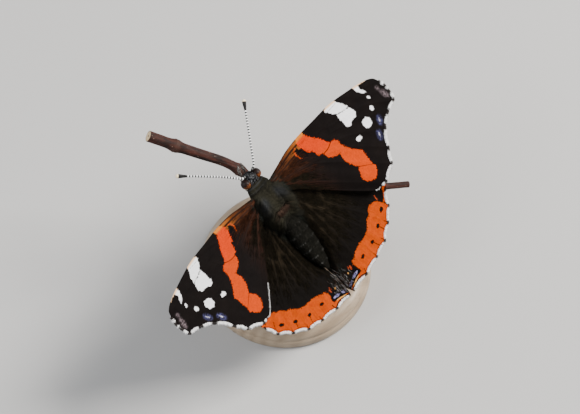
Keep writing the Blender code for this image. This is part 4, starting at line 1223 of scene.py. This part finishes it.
def wing_hair(name, side, plan, height, count, s_power, density, length, kind, seed, lift=0.10):
    """Hairs on the upper sheet, each running along the grid's rows towards the margin."""
    rng = np.random.default_rng(seed)
    s = rng.uniform(0, 1, count) ** s_power
    t = rng.uniform(0, 1, count)
    row, column = s * (WING_ROWS - MARGIN_ROWS), t * (WING_COLUMNS - 1)
    base = on_grid(plan, row, column)
    ahead = on_grid(plan, row + HAIR_AHEAD, column)
    chosen = rng.uniform(0, 1, count) < density(s, t, base)
    s, t, base, ahead = s[chosen], t[chosen], base[chosen], ahead[chosen]
    count = len(s)
    z = height(base[:, 0], base[:, 1])
    z_ahead = height(ahead[:, 0], ahead[:, 1])
    root = np.column_stack([base * (side, 1), z + 0.03])
    along = unit(np.column_stack([(ahead - base) * (side, 1), z_ahead - z]))
    up = np.tile((0, 0, 1.0), (count, 1))
    across = unit(np.cross(along, up))
    along = along + up * lift * rng.uniform(0.4, 1.6, count)[:, None]
    along = along + across * rng.normal(0, 0.10, count)[:, None]
    lengths = length(s, t) * rng.uniform(0.6, 1.2, count)
    points, faces = spikes(root, along, up, lengths, rng.uniform(0.03, 0.06, count), 0.5,
                           -lift * rng.uniform(0.5, 1.0, count))
    extent = np.ptp(plan.reshape(-1, 2), axis=0).max()
    places = 0.04 + (base - plan.reshape(-1, 2).min(0)) * 0.92 / extent
    values = {"lot": per_hair(rng.uniform(0, 1, count)), "kind": per_hair(kind(s, t, base, rng))}
    return make_piece(name, points, [], faces, [WING_HAIR], "body_hair", (), values,
                      bake_map=tuft_map(places))


WING_HAIR = wing_hair_finish()
for side, word in SIDES:
    wing_hair(f"forewing_hair_{word}", side, fore_plan, fore_height, 22000, 1.3,
              lambda s, t, p: smooth_step(13.0, 3.0, p[:, 0]) * smooth_step(0.0, 0.12, t),
              lambda s, t: 1.5 - 0.5 * s,
              lambda s, t, p, rng: np.where(t < 0.66, 0.5, 0.15) * smooth_step(3.2, 4.6, p[:, 0]),
              41 + side)
    wing_hair(f"hindwing_hair_{word}", side, hind_plan, hind_height, 32000, 0.85,
              lambda s, t, p: smooth_step(0.82, 0.45, s) * (0.35 + 0.65 * t),
              lambda s, t: 2.0 - 0.7 * s,
              lambda s, t, p, rng: 0.15 * smooth_step(3.5, 6.5, p[:, 0] + 0.2 * p[:, 1]), 51 + side)
    wing_hair(f"tail_hair_{word}", side, hind_plan, hind_height, 9000, 0.35,
              lambda s, t, p: (smooth_step(0.72, 0.84, s) * smooth_step(0.99, 0.93, s)
                               * smooth_step(0.84, 0.97, t)),
              lambda s, t: 1.9 - 0.5 * s,
              lambda s, t, p, rng: rng.uniform(0.1, 1.0, len(s)) ** (1 + 3 * smooth_step(0.99, 0.93, t)),
              56 + side, 0.14)

# %% [markdown]
# ## Eyes
# Each eye is a bulging half ball of thousands of facets: black-brown and softly glossy, with a
# warm orange-brown crescent behind and a thin pale rim. A fine cell texture gives the facets.

# %% Eye finish and pieces
def eye_finish():
    f = Finish("eye facets", Specular_IOR_Level=0.16, Coat_Roughness=0.2, Coat_Weight=0.03)
    facing = f.vector("facing")
    out, back, up = (f.part(facing, axis) for axis in "XYZ")
    cell = f.cells(facing, 34.0)
    cloudy = f.noise(facing, 2.5, 3)
    colour = f.mix(cloudy, (0.004, 0.0025, 0.002), (0.016, 0.007, 0.005))
    crescent = (back - out * 0.10 + cloudy * 0.35).rise(0.10, 0.50)
    amber = f.mix(cloudy.rise(0.3, 0.7), (0.035, 0.008, 0.002), (0.20, 0.058, 0.013))
    colour = f.mix(crescent * 0.9, colour, amber)
    rim = (back * 0.62 + out * 0.50 - up * 0.10).rise(0.68, 0.76)
    colour = f.mix(rim * 0.75, colour, (0.36, 0.25, 0.12))
    return f.done(colour, 0.34 + cell * 0.25, f.bump(-cell, 0.00002, 0.5))


EYE_ROWS = 60
EYE_SIDES = 80


def ball(centre, radii, rows, sides):
    """Ellipsoid rings from pole to pole: radii times (sin h cos a, sin h sin a, -cos h)."""
    h, a = np.meshgrid(np.linspace(0, math.pi, rows + 2)[1:-1],
                       round_turns(sides), indexing="ij")
    facing = np.stack([np.sin(h) * np.cos(a), np.sin(h) * np.sin(a), -np.cos(h)], -1)
    points, quads, triangles = close_rings(facing)
    points[-2:] = (0, 0, -1), (0, 0, 1)
    return points * radii + centre, quads, triangles, points


EYE = eye_finish()
for side, word in SIDES:
    centre = np.multiply(EYE_CENTRE, (side, 1, 1))
    points, quads, triangles, facing = ball(centre, EYE_RADII, EYE_ROWS, EYE_SIDES)
    make_piece(f"eyeball_{word}", points, quads[:, ::-1], triangles[:, ::-1], [EYE], "eye", [f"eye_{word}"],
               {"facing": facing * (side, 1, 1)})

# %% [markdown]
# ## Feelers
# A feeler is a thin jointed shaft, black with a white ring at every joint, that swells to a
# black club with a pale tip. One tube does it, with its radius and rings worked out along it.

# %% Feeler finish and pieces
FEELER_PATH = [(2.1, -5.2, 1.00), (4.6, -8.2, 0.75), (7.9, -11.8, -0.15), (11.2, -15.3, -1.25)]
FEELER_JOINTS = 26
FEELER_ROWS = 460
FEELER_SIDES = 18
FEELER_RADIUS = 0.215
CLUB_SWELLING = 0.235


def feeler_finish():
    f = Finish("feeler rings", Specular_IOR_Level=0.2)
    along, ring = f.value("along"), f.value("ring")
    grain = f.noise(f.place(), 14000.0, 2)
    shaft = along.rise(0.865, 0.855) * along.rise(0.05, 0.12)
    white = ring.rise(0.50, 0.54) * ring.rise(0.95, 0.91) * shaft
    colour = f.mix(grain, (0.002, 0.002, 0.002), (0.007, 0.006, 0.005))
    colour = f.mix(white, colour, (0.95, 0.95, 0.94))
    colour = f.mix(along.rise(0.962, 0.972), colour, (0.88, 0.74, 0.50))
    return f.done(colour, 0.45 + grain * 0.2, f.bump(grain, 0.00002, 0.5))


FEELER = feeler_finish()


def make_feeler(side, word):
    """Shaft from the brow; radius = shaft + club swelling + a bead at each joint."""
    start = np.array([0.85, -4.20, 0.12])
    outward = np.array([0.40, -0.57, 0.71])
    path = curve_through([start, start + outward * 1.1] + FEELER_PATH, FEELER_ROWS)
    t = np.linspace(0, 1, FEELER_ROWS)
    swell = np.interp(t, [0, 0.84, 0.89, 0.93, 0.965, 0.985, 1], [0, 0, 0.35, 0.75, 1, 0.85, 0.3])
    ring = (t * FEELER_JOINTS) % 1.0
    bead = 0.022 * hump(ring, 0.75, 0.22) * (1 - swell)
    base = 0.10 * hump(t, 0, 0.012)
    radii = FEELER_RADIUS + CLUB_SWELLING * swell + bead + base
    radii = radii * np.clip((1 - t) / 0.012, 0.25, 1) ** 0.5
    points, quads, triangles = close_rings(tube_rings(path * (side, 1, 1), radii, FEELER_SIDES))
    values = {"along": np.r_[np.repeat(t, FEELER_SIDES), 0, 1],
              "ring": np.r_[np.repeat(ring, FEELER_SIDES), 0, 0]}
    return make_piece(f"feeler_{word}", points, quads, triangles, [FEELER], "antenna",
                      [f"antenna_{word}"], values)


for side, word in SIDES:
    make_feeler(side, word)

# %% [markdown]
# ## Palps and forelegs
# Two furry palps point forward from under the face, and a small folded foreleg lies on each side
# of the throat. Both are tubes with their own short coat.

# %% Palps, forelegs and their hair
PALP_PATH = [(0.62, -4.9, -1.35), (0.62, -5.25, -1.25), (0.60, -6.0, -0.85), (0.52, -6.7, -0.25),
             (0.45, -7.12, 0.30)]
PALP_RADII = [0.20, 0.26, 0.32, 0.26, 0.12]
FORELEG_PATH = [(1.20, -0.8, -2.2), (1.30, -1.35, -2.80), (1.25, -2.3, -2.94), (1.10, -3.2, -2.88),
                (0.90, -4.05, -2.64)]
FORELEG_RADII = [0.24, 0.26, 0.28, 0.22, 0.14]
FURRY_ROWS = 60
FURRY_SIDES = 20
FURRY_HAIRS = 1500


def furry_finish():
    f = Finish("palp and foreleg fur", Specular_IOR_Level=0.3, Sheen_Weight=0.1)
    lot = f.value("lot")
    stripe = f.value("stripe")
    dark = f.mix(lot, (0.018, 0.012, 0.010), (0.060, 0.040, 0.030))
    pale = f.mix(lot, (0.36, 0.33, 0.30), (0.62, 0.60, 0.56))
    return f.done(f.mix(stripe.rise(0.45, 0.55), dark, pale), 0.6 + lot * 0.2)


FURRY = furry_finish()


def furry_tube(name, side, path, radii, hair_length, replaced, slot, seed):
    """A tube and the hairs that grow from it, leaning forward along it, as one mesh."""
    rng = np.random.default_rng(seed)
    count = FURRY_HAIRS
    line = curve_through(path, FURRY_ROWS) * (side, 1, 1)
    size = curve_through([(r,) for r in radii], FURRY_ROWS)[:, 0]
    size[-1] *= 0.4
    rings = tube_rings(line, size, FURRY_SIDES)
    tube = close_rings(rings)
    row, column = rng.integers(1, FURRY_ROWS - 3, count), rng.integers(0, FURRY_SIDES, count)
    hairs, faces = tube_hairs(line, rings, row, column, 2, rng.uniform(0.15, 0.35, count), 0.02,
                              hair_length * rng.uniform(0.6, 1.1, count),
                              rng.uniform(0.04, 0.06, count), 0.5, -0.15)
    points, quads, triangles = join_shapes([tube, (hairs, [], faces)])
    stripe = (np.sin(rng.uniform(0, 2 * math.pi, count)) > 0.45).astype(float)
    lot = rng.uniform(0, 1, count)
    values = {"lot": np.r_[np.full(len(tube[0]), 0.3), per_hair(lot)],
              "stripe": np.r_[np.zeros(len(tube[0])), per_hair(stripe)]}
    places = np.column_stack([0.05 + 0.9 * row / FURRY_ROWS, 0.05 + 0.3 * column / FURRY_SIDES])
    tube_row, tube_column = np.divmod(np.arange(FURRY_ROWS * FURRY_SIDES), FURRY_SIDES)
    tube_place = np.column_stack([0.05 + 0.9 * tube_row / FURRY_ROWS,
                                  0.55 + 0.3 * tube_column / FURRY_SIDES])
    bake = np.vstack([tube_place, [(0.05, 0.5), (0.95, 0.5)], tuft_map(places)])
    return make_piece(name, points, quads, triangles, [FURRY], slot, [replaced], values, bake_map=bake)


for side, word in SIDES:
    furry_tube(f"furry_palp_{word}", side, PALP_PATH, PALP_RADII, 0.34, f"palp_{word}", "body_hair",
               61 + side)
    furry_tube(f"furry_foreleg_{word}", side, FORELEG_PATH, FORELEG_RADII, 0.30, f"foreleg_{word}",
               "leg", 71 + side)

# %% [markdown]
# ## The twig
# A slim woody stem: red-brown smooth bark, fine lengthwise wrinkles, pale pores, a swelling and a
# scar at every old bud, and a clean cut at both ends that shows the wood.

# %% Twig line and bark
TWIG = [(7.4, -23.8, -6.8), (4.6, -18.3, -6.9), (1.8, -13.1, -7.0), (-1.0, -7.8, -7.0),
        (-2.4, -3.0, -7.0), (-2.6, 1.5, -7.1), (-3.7, 6.0, -7.3), (-7.5, 10.6, -7.3),
        (-14.3, 15.4, -7.1), (-21.0, 19.6, -7.0), (-27.5, 25.0, -7.0)]
TWIG_BUDS = (0.10, 0.34, 0.62, 0.86)
BUD_RISE = 0.32
TWIG_COUNT = 460
TWIG_SIDES = 40


def twig_line(count):
    """Middle points and radii: a straight taper with a swelling at each old bud."""
    path = curve_through(TWIG, count)
    t = np.linspace(0, 1, count)
    swelling = sum(hump(t, bud, 0.018) for bud in TWIG_BUDS)
    return path, 1.2 - 0.5 * t + BUD_RISE * swelling


def bark_finish():
    f = Finish("twig bark", Specular_IOR_Level=0.22)
    strip = f.vector("bark")
    wide = f.noise(f.stretch(strip, (0.35, 1.2, 1.0)), 1.0, 4, 0.6)
    fibre = f.noise(f.stretch(strip, (0.6, 9.0, 1.0)), 1.0, 4, 0.6)
    colour = f.mix(wide.rise(0.32, 0.68), (0.008, 0.0034, 0.0024), (0.048, 0.0125, 0.007))
    colour = f.mix(fibre.rise(0.5, 0.75) * 0.4, colour, (0.085, 0.030, 0.019))
    grey = f.noise(f.stretch(strip, (2.2, 2.2, 2.2)), 1.0, 4, 0.7).rise(0.55, 0.70)
    colour = f.mix(grey * 0.3, colour, (0.12, 0.078, 0.070))
    pore = f.cells(f.stretch(strip, (0.75, 1.1, 1.0))).rise(0.13, 0.07)
    colour = f.mix(pore, colour, (0.22, 0.14, 0.10))
    colour = f.mix(f.value("bud") * 0.6, colour, (0.055, 0.026, 0.018))
    wood = f.node("ShaderNodeTexWave", {"wave_type": "RINGS", "rings_direction": "Z"},
                  {"Vector": f.vector("section"), "Scale": 1.3, "Distortion": 1.2, "Detail": 3.0})
    timber = f.mix(wood, (0.50, 0.36, 0.20), (0.66, 0.52, 0.33))
    centre = f.node("ShaderNodeVectorMath", {"operation": "LENGTH"}, {0: f.vector("section")}, "Value")
    timber = f.mix(centre.rise(0.24, 0.14), timber, (0.34, 0.24, 0.15))
    timber = f.mix(centre.rise(0.80, 0.95), timber, (0.20, 0.13, 0.06))
    colour = f.mix(f.value("cut").rise(0.4, 0.6), colour, timber)
    normal = f.bump(fibre * 0.8 + pore * 0.9 + wide * 0.5, 0.00010, 0.7)
    return f.done(colour, 0.58 + fibre * 0.25, normal)


# %% Twig piece
def make_twig():
    """Tube with wrinkles and bud scars; each end closes with rings of cut wood."""
    rng = np.random.default_rng(81)
    path, radii = twig_line(TWIG_COUNT)
    t = np.linspace(0, 1, TWIG_COUNT)[:, None]
    turn = round_turns(TWIG_SIDES)[None]
    relief = np.zeros((TWIG_COUNT, TWIG_SIDES))
    for k in range(7):
        relief += 0.012 * np.sin((3 + 2 * k) * turn + 9 * np.sin(t * (5 + k)) + rng.uniform(0, 6))
    bud = sum(hump(t, b, 0.010) for b in TWIG_BUDS)
    relief += 0.05 * np.sin(t * 60 * 9) * bud - 0.03
    rings = tube_rings(path, radii - 0.02, TWIG_SIDES, relief)
    length = np.linalg.norm(np.diff(path, axis=0), axis=1).sum()
    section = np.stack([np.cos(turn), np.sin(turn), 0 * turn], -1)
    steps = (0.93, 0.7, 0.4, 0.12)
    front = [path[0] + (rings[0] - path[0]) * k for k in steps][::-1]
    back = [path[-1] + (rings[-1] - path[-1]) * k for k in steps]
    caps = len(steps)
    body = np.concatenate([np.array(front), rings, np.array(back)])
    points, quads, triangles = close_rings(body)
    inset = np.r_[steps[::-1], np.ones(TWIG_COUNT), steps]
    cut = np.r_[np.ones(caps), np.zeros(TWIG_COUNT), np.ones(caps)]
    along = np.r_[np.zeros(caps), np.linspace(0, length, TWIG_COUNT), np.full(caps, length)]
    bud_row = np.r_[np.zeros(caps), np.clip(bud[:, 0], 0, 1), np.zeros(caps)]
    strip = np.stack([np.repeat(along, TWIG_SIDES), np.tile(np.cos(turn[0]) * 1.2, len(body)),
                      np.tile(np.sin(turn[0]) * 1.2, len(body))], 1)
    across = (inset[:, None, None] * section).reshape(-1, 3)
    values = {"bark": np.vstack([strip, strip[:1], strip[-1:]]),
              "section": np.vstack([across, np.zeros((2, 3))]),
              "cut": np.r_[np.repeat(cut, TWIG_SIDES), 1, 1],
              "bud": np.r_[np.repeat(bud_row, TWIG_SIDES), 0, 0]}
    return make_piece("bark_twig", points, quads, triangles, [BARK], "bark", ["perch_twig"], values)


BARK = bark_finish()
make_twig()

# %% [markdown]
# ## Legs
# Four walking legs hold the twig. Each has a stout thigh, a slimmer shin with spurs, and a foot of
# five small joints that ends in two claws. A tube with a nick at each joint gives the parts.

# %% Leg finish
THORAX = [(-1.00, 2.65, 2.00, -0.74), (0.40, 2.98, 2.62, -0.90), (2.20, 3.15, 3.00, -1.00),
          (4.40, 3.00, 2.95, -1.10), (6.20, 2.35, 2.40, -1.20), (7.80, 1.65, 1.60, -1.30)]
LEGS = {
    "midleg": (1.2, {1: (2.4, 2.0, -5.1), -1: (-5.3, 2.5, -4.9)}, (0.47, 0.50)),
    "hindleg": (4.9, {1: (3.5, 7.2, -5.0), -1: (-6.9, 6.2, -4.8)}, (0.575, 0.62)),
}
HIP_ANGLE_DEG = 62.0
LEG_ROWS = 300
LEG_SIDES = 16
SPURS = 90
LEG_HAIRS = 500


def leg_finish():
    f = Finish("leg scales", Specular_IOR_Level=0.35)
    place = f.place()
    grain = f.noise(place, 5200.0, 3)
    along = f.value("along")
    colour = f.mix(grain, (0.055, 0.034, 0.020), (0.24, 0.155, 0.085))
    colour = f.mix(along.rise(0.50, 0.40) * 0.5, colour, (0.045, 0.036, 0.028))
    colour = f.mix(f.value("joint") * 0.7, colour, (0.030, 0.018, 0.012))
    return f.done(colour, 0.5 + grain * 0.3, f.bump(f.cells(place, 9000.0), 0.00003, 0.6))


def twig_at(along):
    """Middle and radius of the twig at one fraction of its length."""
    path, radii = twig_line(201)
    *centre, thick = read_table(np.column_stack([np.arange(201) / 200, path, radii]), along)
    return np.array(centre), thick


def foot_on_twig(along, side, lean_deg, clear):
    """A point beside the twig: its middle + (radius + clear) times a leaning direction."""
    centre, thick = twig_at(along)
    ahead = unit(twig_at(along + 0.01)[0] - twig_at(along - 0.01)[0])
    up = unit(np.array([0, 0, 1.0]) - ahead * ahead[2])
    across = np.cross(up, ahead)
    across *= side * np.sign(across[0])
    lean = math.radians(lean_deg)
    return centre + (thick + clear) * (across * math.cos(lean) + up * math.sin(lean))


# %% Leg pieces
def make_leg(name, side, word, hip_y, knee, foot):
    """Thigh, shin and foot as one tube with nicks, and spurs and claws as spikes on it."""
    rng = np.random.default_rng(91 + side)
    half_width, half_height, middle = read_table(THORAX, hip_y)
    angle = math.radians(HIP_ANGLE_DEG)
    out = np.array([side * math.cos(angle), 0, -math.sin(angle)])
    skin = np.array([side * half_width * math.cos(angle), hip_y, middle - half_height * math.sin(angle)])
    toes = [foot_on_twig(a, side, 25, 0.13) for a in np.linspace(*foot, 3)]
    knee = np.asarray(knee)
    ankle = toes[0] + (knee - toes[0]) * 0.12
    path = curve_through([skin - out * 0.7, skin + out * 0.9, skin * 0.5 + knee * 0.5 + (0, 0, 0.1),
                          knee, knee * 0.5 + ankle * 0.5, ankle] + toes, LEG_ROWS)
    t = np.linspace(0, 1, LEG_ROWS)
    bend, heel = (np.linalg.norm(path - joint, axis=1).argmin() / LEG_ROWS for joint in (knee, ankle))
    joints = [bend, heel] + list(heel + (1 - heel) * np.array([0.42, 0.60, 0.75, 0.88]))
    radii = np.interp(t, [0, bend * 0.5, bend - 0.02, bend + 0.02, heel, 1],
                      [0.36, 0.40, 0.25, 0.22, 0.17, 0.12])
    nick = np.clip(sum(hump(t, j, 0.007) for j in joints), 0, 1)
    radii = radii * (1 - 0.38 * nick)
    radii[-3:] *= (0.9, 0.7, 0.4)
    rings = tube_rings(path, radii, LEG_SIDES)
    knee_row = int(LEG_ROWS * bend)
    row = rng.integers(knee_row + 6, LEG_ROWS - 6, SPURS)
    column = rng.integers(0, LEG_SIDES, SPURS)
    spurs, spur_faces = tube_hairs(path, rings, row, column, 3, 0.7, 0.03,
                                   rng.uniform(0.22, 0.42, SPURS), 0.05, 0.9, 0.0)
    tip, lead = path[-2], unit(path[-1] - path[-6])
    fork = unit(np.cross(lead, (0, 0, 1.0)))
    claws, claw_faces = spikes(np.array([tip, tip]), np.array([lead + fork * 0.5, lead - fork * 0.5]),
                               np.tile((0, 0, 1.0), (2, 1)), 0.45, 0.10, 0.9, -0.5)
    hair_row = rng.integers(8, knee_row, LEG_HAIRS)
    hair_column = rng.integers(0, LEG_SIDES, LEG_HAIRS)
    fuzz, fuzz_faces = tube_hairs(path, rings, hair_row, hair_column, 3, 0.35, 0.02,
                                  rng.uniform(0.25, 0.5, LEG_HAIRS), 0.045, 0.6, -0.1)
    shape = join_shapes([close_rings(rings), (spurs, [], spur_faces), (claws, [], claw_faces),
                         (fuzz, [], fuzz_faces)])
    values = {"along": np.r_[np.repeat(t, LEG_SIDES), 0, 1, per_hair(t[row]), np.ones(len(claws)),
                             per_hair(t[hair_row])],
              "joint": np.r_[np.repeat(nick, LEG_SIDES), 0, 0, np.zeros(len(spurs)),
                             np.ones(len(claws)), np.zeros(len(fuzz))]}
    return make_piece(f"jointed_{name}_{word}", *shape, [LEG], "leg", [f"{name}_{word}"], values)


LEG = leg_finish()
for name, (hip_y, knees, foot) in LEGS.items():
    for side, word in SIDES:
        make_leg(name, side, word, hip_y, knees[side], foot)

# %% [markdown]
# ## The stand
# The twig rests on two steel rods in a turned wooden base. The rods are true solids already, so
# they only get a brushed finish. The base is turned again with finer steps, as a profile spun
# round the z axis.

# %% Base and rods
BASE_PROFILE = [(0.0, 0.0), (6.0, 0.0), (12.0, 0.0), (17.0, 0.0), (17.6, 0.08), (17.93, 0.40),
                (18.0, 0.9), (18.0, 2.1), (17.86, 2.55), (17.55, 2.72), (17.50, 2.95), (17.62, 3.2),
                (17.45, 3.8), (17.0, 4.4), (16.3, 4.82), (15.5, 4.98), (14.6, 5.0), (14.35, 4.88),
                (14.1, 4.86), (13.85, 4.97), (13.2, 5.0), (9.0, 5.0), (4.0, 5.0), (0.0, 5.0)]


def base_finish():
    f = Finish("turned hardwood", Specular_IOR_Level=0.30, Coat_Roughness=0.3, Coat_Weight=0.10)
    place = f.place()
    grain = f.noise(f.stretch(place, (60.0, 420.0, 420.0), 8), 1.0, 4, 0.6, 0.6)
    rings = f.node("ShaderNodeTexWave", {"wave_type": "BANDS", "bands_direction": "Y"},
                   {"Vector": f.stretch(place, (30.0, 130.0, 90.0), 8), "Scale": 1.0, "Distortion": 5.0,
                    "Detail": 3.0, "Detail Scale": 0.6})
    pores = f.noise(f.stretch(place, (260.0, 5200.0, 5200.0), 8), 1.0, 2)
    colour = f.mix(rings, (0.27, 0.20, 0.135), (0.36, 0.275, 0.19))
    colour = f.mix(grain.rise(0.35, 0.7) * 0.6, colour, (0.41, 0.325, 0.235))
    colour = f.mix(pores.rise(0.60, 0.70) * 0.5, colour, (0.20, 0.13, 0.075))
    return f.done(colour, 0.36 + grain * 0.2, f.bump(pores.rise(0.70, 0.60) + grain * 0.3, 0.00005, 0.5))


def rod_finish():
    f = Finish("brushed steel", Metallic=1.0)
    place = f.place()
    brushed = f.noise(f.stretch(place, (9000.0, 9000.0, 120.0)), 1.0, 3)
    colour = f.mix(brushed, (0.42, 0.42, 0.41), (0.66, 0.65, 0.63))
    return f.done(colour, 0.26 + brushed * 0.22, f.bump(brushed, 0.00001, 0.4))


def lathe(profile, sides, centre=(0.0, 0.0), count=110):
    """The profile's radius and height carried round the z axis; both ends lie on the axis."""
    line = even(np.asarray(profile, float), count)
    turn = round_turns(sides)
    inner = line[1:-1]
    rings = np.stack([centre[0] + inner[:, :1] * np.cos(turn), centre[1] + inner[:, :1] * np.sin(turn),
                      np.repeat(inner[:, 1:], sides, 1)], -1)
    points, quads, triangles = close_rings(rings)
    points[-2] = (*centre, line[0, 1])
    points[-1] = (*centre, line[-1, 1])
    return points, quads, triangles


BASE_WOOD = base_finish()
STEEL = rod_finish()
COLLAR = [(0.0, 4.6), (1.55, 4.6), (1.62, 4.95), (1.62, 5.5), (1.50, 5.75), (1.2, 5.85), (0.0, 5.85)]
points, quads, triangles = lathe(BASE_PROFILE, 144)
make_piece("turned_base", points, quads[:, ::-1], triangles[:, ::-1], [BASE_WOOD], "base_wood",
           ["stand_base"], posed=False)
for word in ("front", "back"):
    name = f"stand_rod_{word}"
    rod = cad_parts[name]
    for k in range(len(rod.material_slots)):
        rod.material_slots[k].material = STEEL
    low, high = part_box(name)
    middle = [(low[k] + high[k]) / 2 / MM for k in (0, 1)]
    points, quads, triangles = lathe(COLLAR, 48, middle, 60)
    make_piece(f"rod_collar_{word}", points, quads[:, ::-1], triangles[:, ::-1], [STEEL], "rod",
               posed=False)

# %% [markdown]
# ## Floor, light and camera
# The floor is plain and pale. The main light is soft and stands high up behind the butterfly, on
# its right. A larger and weaker one fills from the other side. The camera looks from the photo's
# angle: from high up, a little to the butterfly's left and in front of it. Its three axes turn with
# the butterfly's pose.

# %% Floor
def floor_finish():
    f = Finish("pale floor", Roughness=0.85, Specular_IOR_Level=0.2)
    tint = f.noise(f.place(), 12.0, 3)
    return f.done(f.mix(tint, (0.44, 0.435, 0.425), (0.48, 0.475, 0.465)))


mesh = bpy.data.meshes.new("floor")
mesh.from_pydata([(-1, -1, 0), (1, -1, 0), (1, 1, 0), (-1, 1, 0)], [], [(0, 1, 2, 3)])
mesh.materials.append(floor_finish())
floor = add_object("floor", mesh)

# %% Camera
def pose_matrix(x_axis, y_axis, z_axis, place):
    """Three axes and a place as the columns of a 4 by 4 matrix, in the order that Blender reads."""
    pose = np.eye(4)
    pose[:3] = np.column_stack([x_axis, y_axis, z_axis, place])
    return pose.T.tolist()


CAMERA_AWAY = 900.0
FOCAL_PIXELS = 4390.0
PHOTO_WIDTH = 580
SENSOR_MM = 36.0
toward = tilt((0.35, -0.25, 0.9028))
rightward = tilt((-0.6158, 0.6649, 0.4228))
upward = tilt((-0.7059, -0.7040, 0.0787))
where = CAMERA_AWAY * toward + 5.74 * rightward - 3.485 * upward + (0, FORWARD_SHIFT, LIFT)
lens = bpy.data.cameras.new("photo_view")
lens.sensor_width = SENSOR_MM
lens.lens = FOCAL_PIXELS / PHOTO_WIDTH * SENSOR_MM
lens.clip_start = 0.01
lens.clip_end = 20.0
camera = add_object("photo_view", lens)
camera.matrix_world = pose_matrix(rightward, upward, toward, where * MM)
bpy.context.scene.camera = camera
print("Camera looks from", np.round(toward, 3), "with lens", round(lens.lens, 1), "mm")


# %% Lights
LIGHT_TARGET = (0, 0, 0.03)
NEARLY_UP = (0.01, 0.02, 1.0)


def soft_light(name, place, size, power, colour):
    """A square area light aimed at the butterfly."""
    data = bpy.data.lights.new(name, "AREA")
    data.size, data.energy, data.color = size, power, colour
    light = add_object(name, data)
    back = unit(np.asarray(place) - LIGHT_TARGET)
    aside = unit(np.cross(NEARLY_UP, back))
    light.matrix_world = pose_matrix(aside, np.cross(back, aside), back, place)


soft_light("key", (-0.42, 0.30, 0.54), 0.30, 13.0, (1.0, 0.97, 0.93))
soft_light("fill", (0.45, -0.35, 0.40), 0.5, 4.6, (0.97, 0.98, 1.0))
world = bpy.data.worlds.new("studio")
world.use_nodes = True
sky = world.node_tree.nodes["Background"]
sky.inputs["Color"].default_value = (0.80, 0.84, 0.90, 1.0)
sky.inputs["Strength"].default_value = 0.42
bpy.context.scene.world = world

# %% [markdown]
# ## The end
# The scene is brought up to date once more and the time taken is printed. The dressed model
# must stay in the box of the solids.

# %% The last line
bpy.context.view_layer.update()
print("Built in", round(time.time() - started, 1), "s")
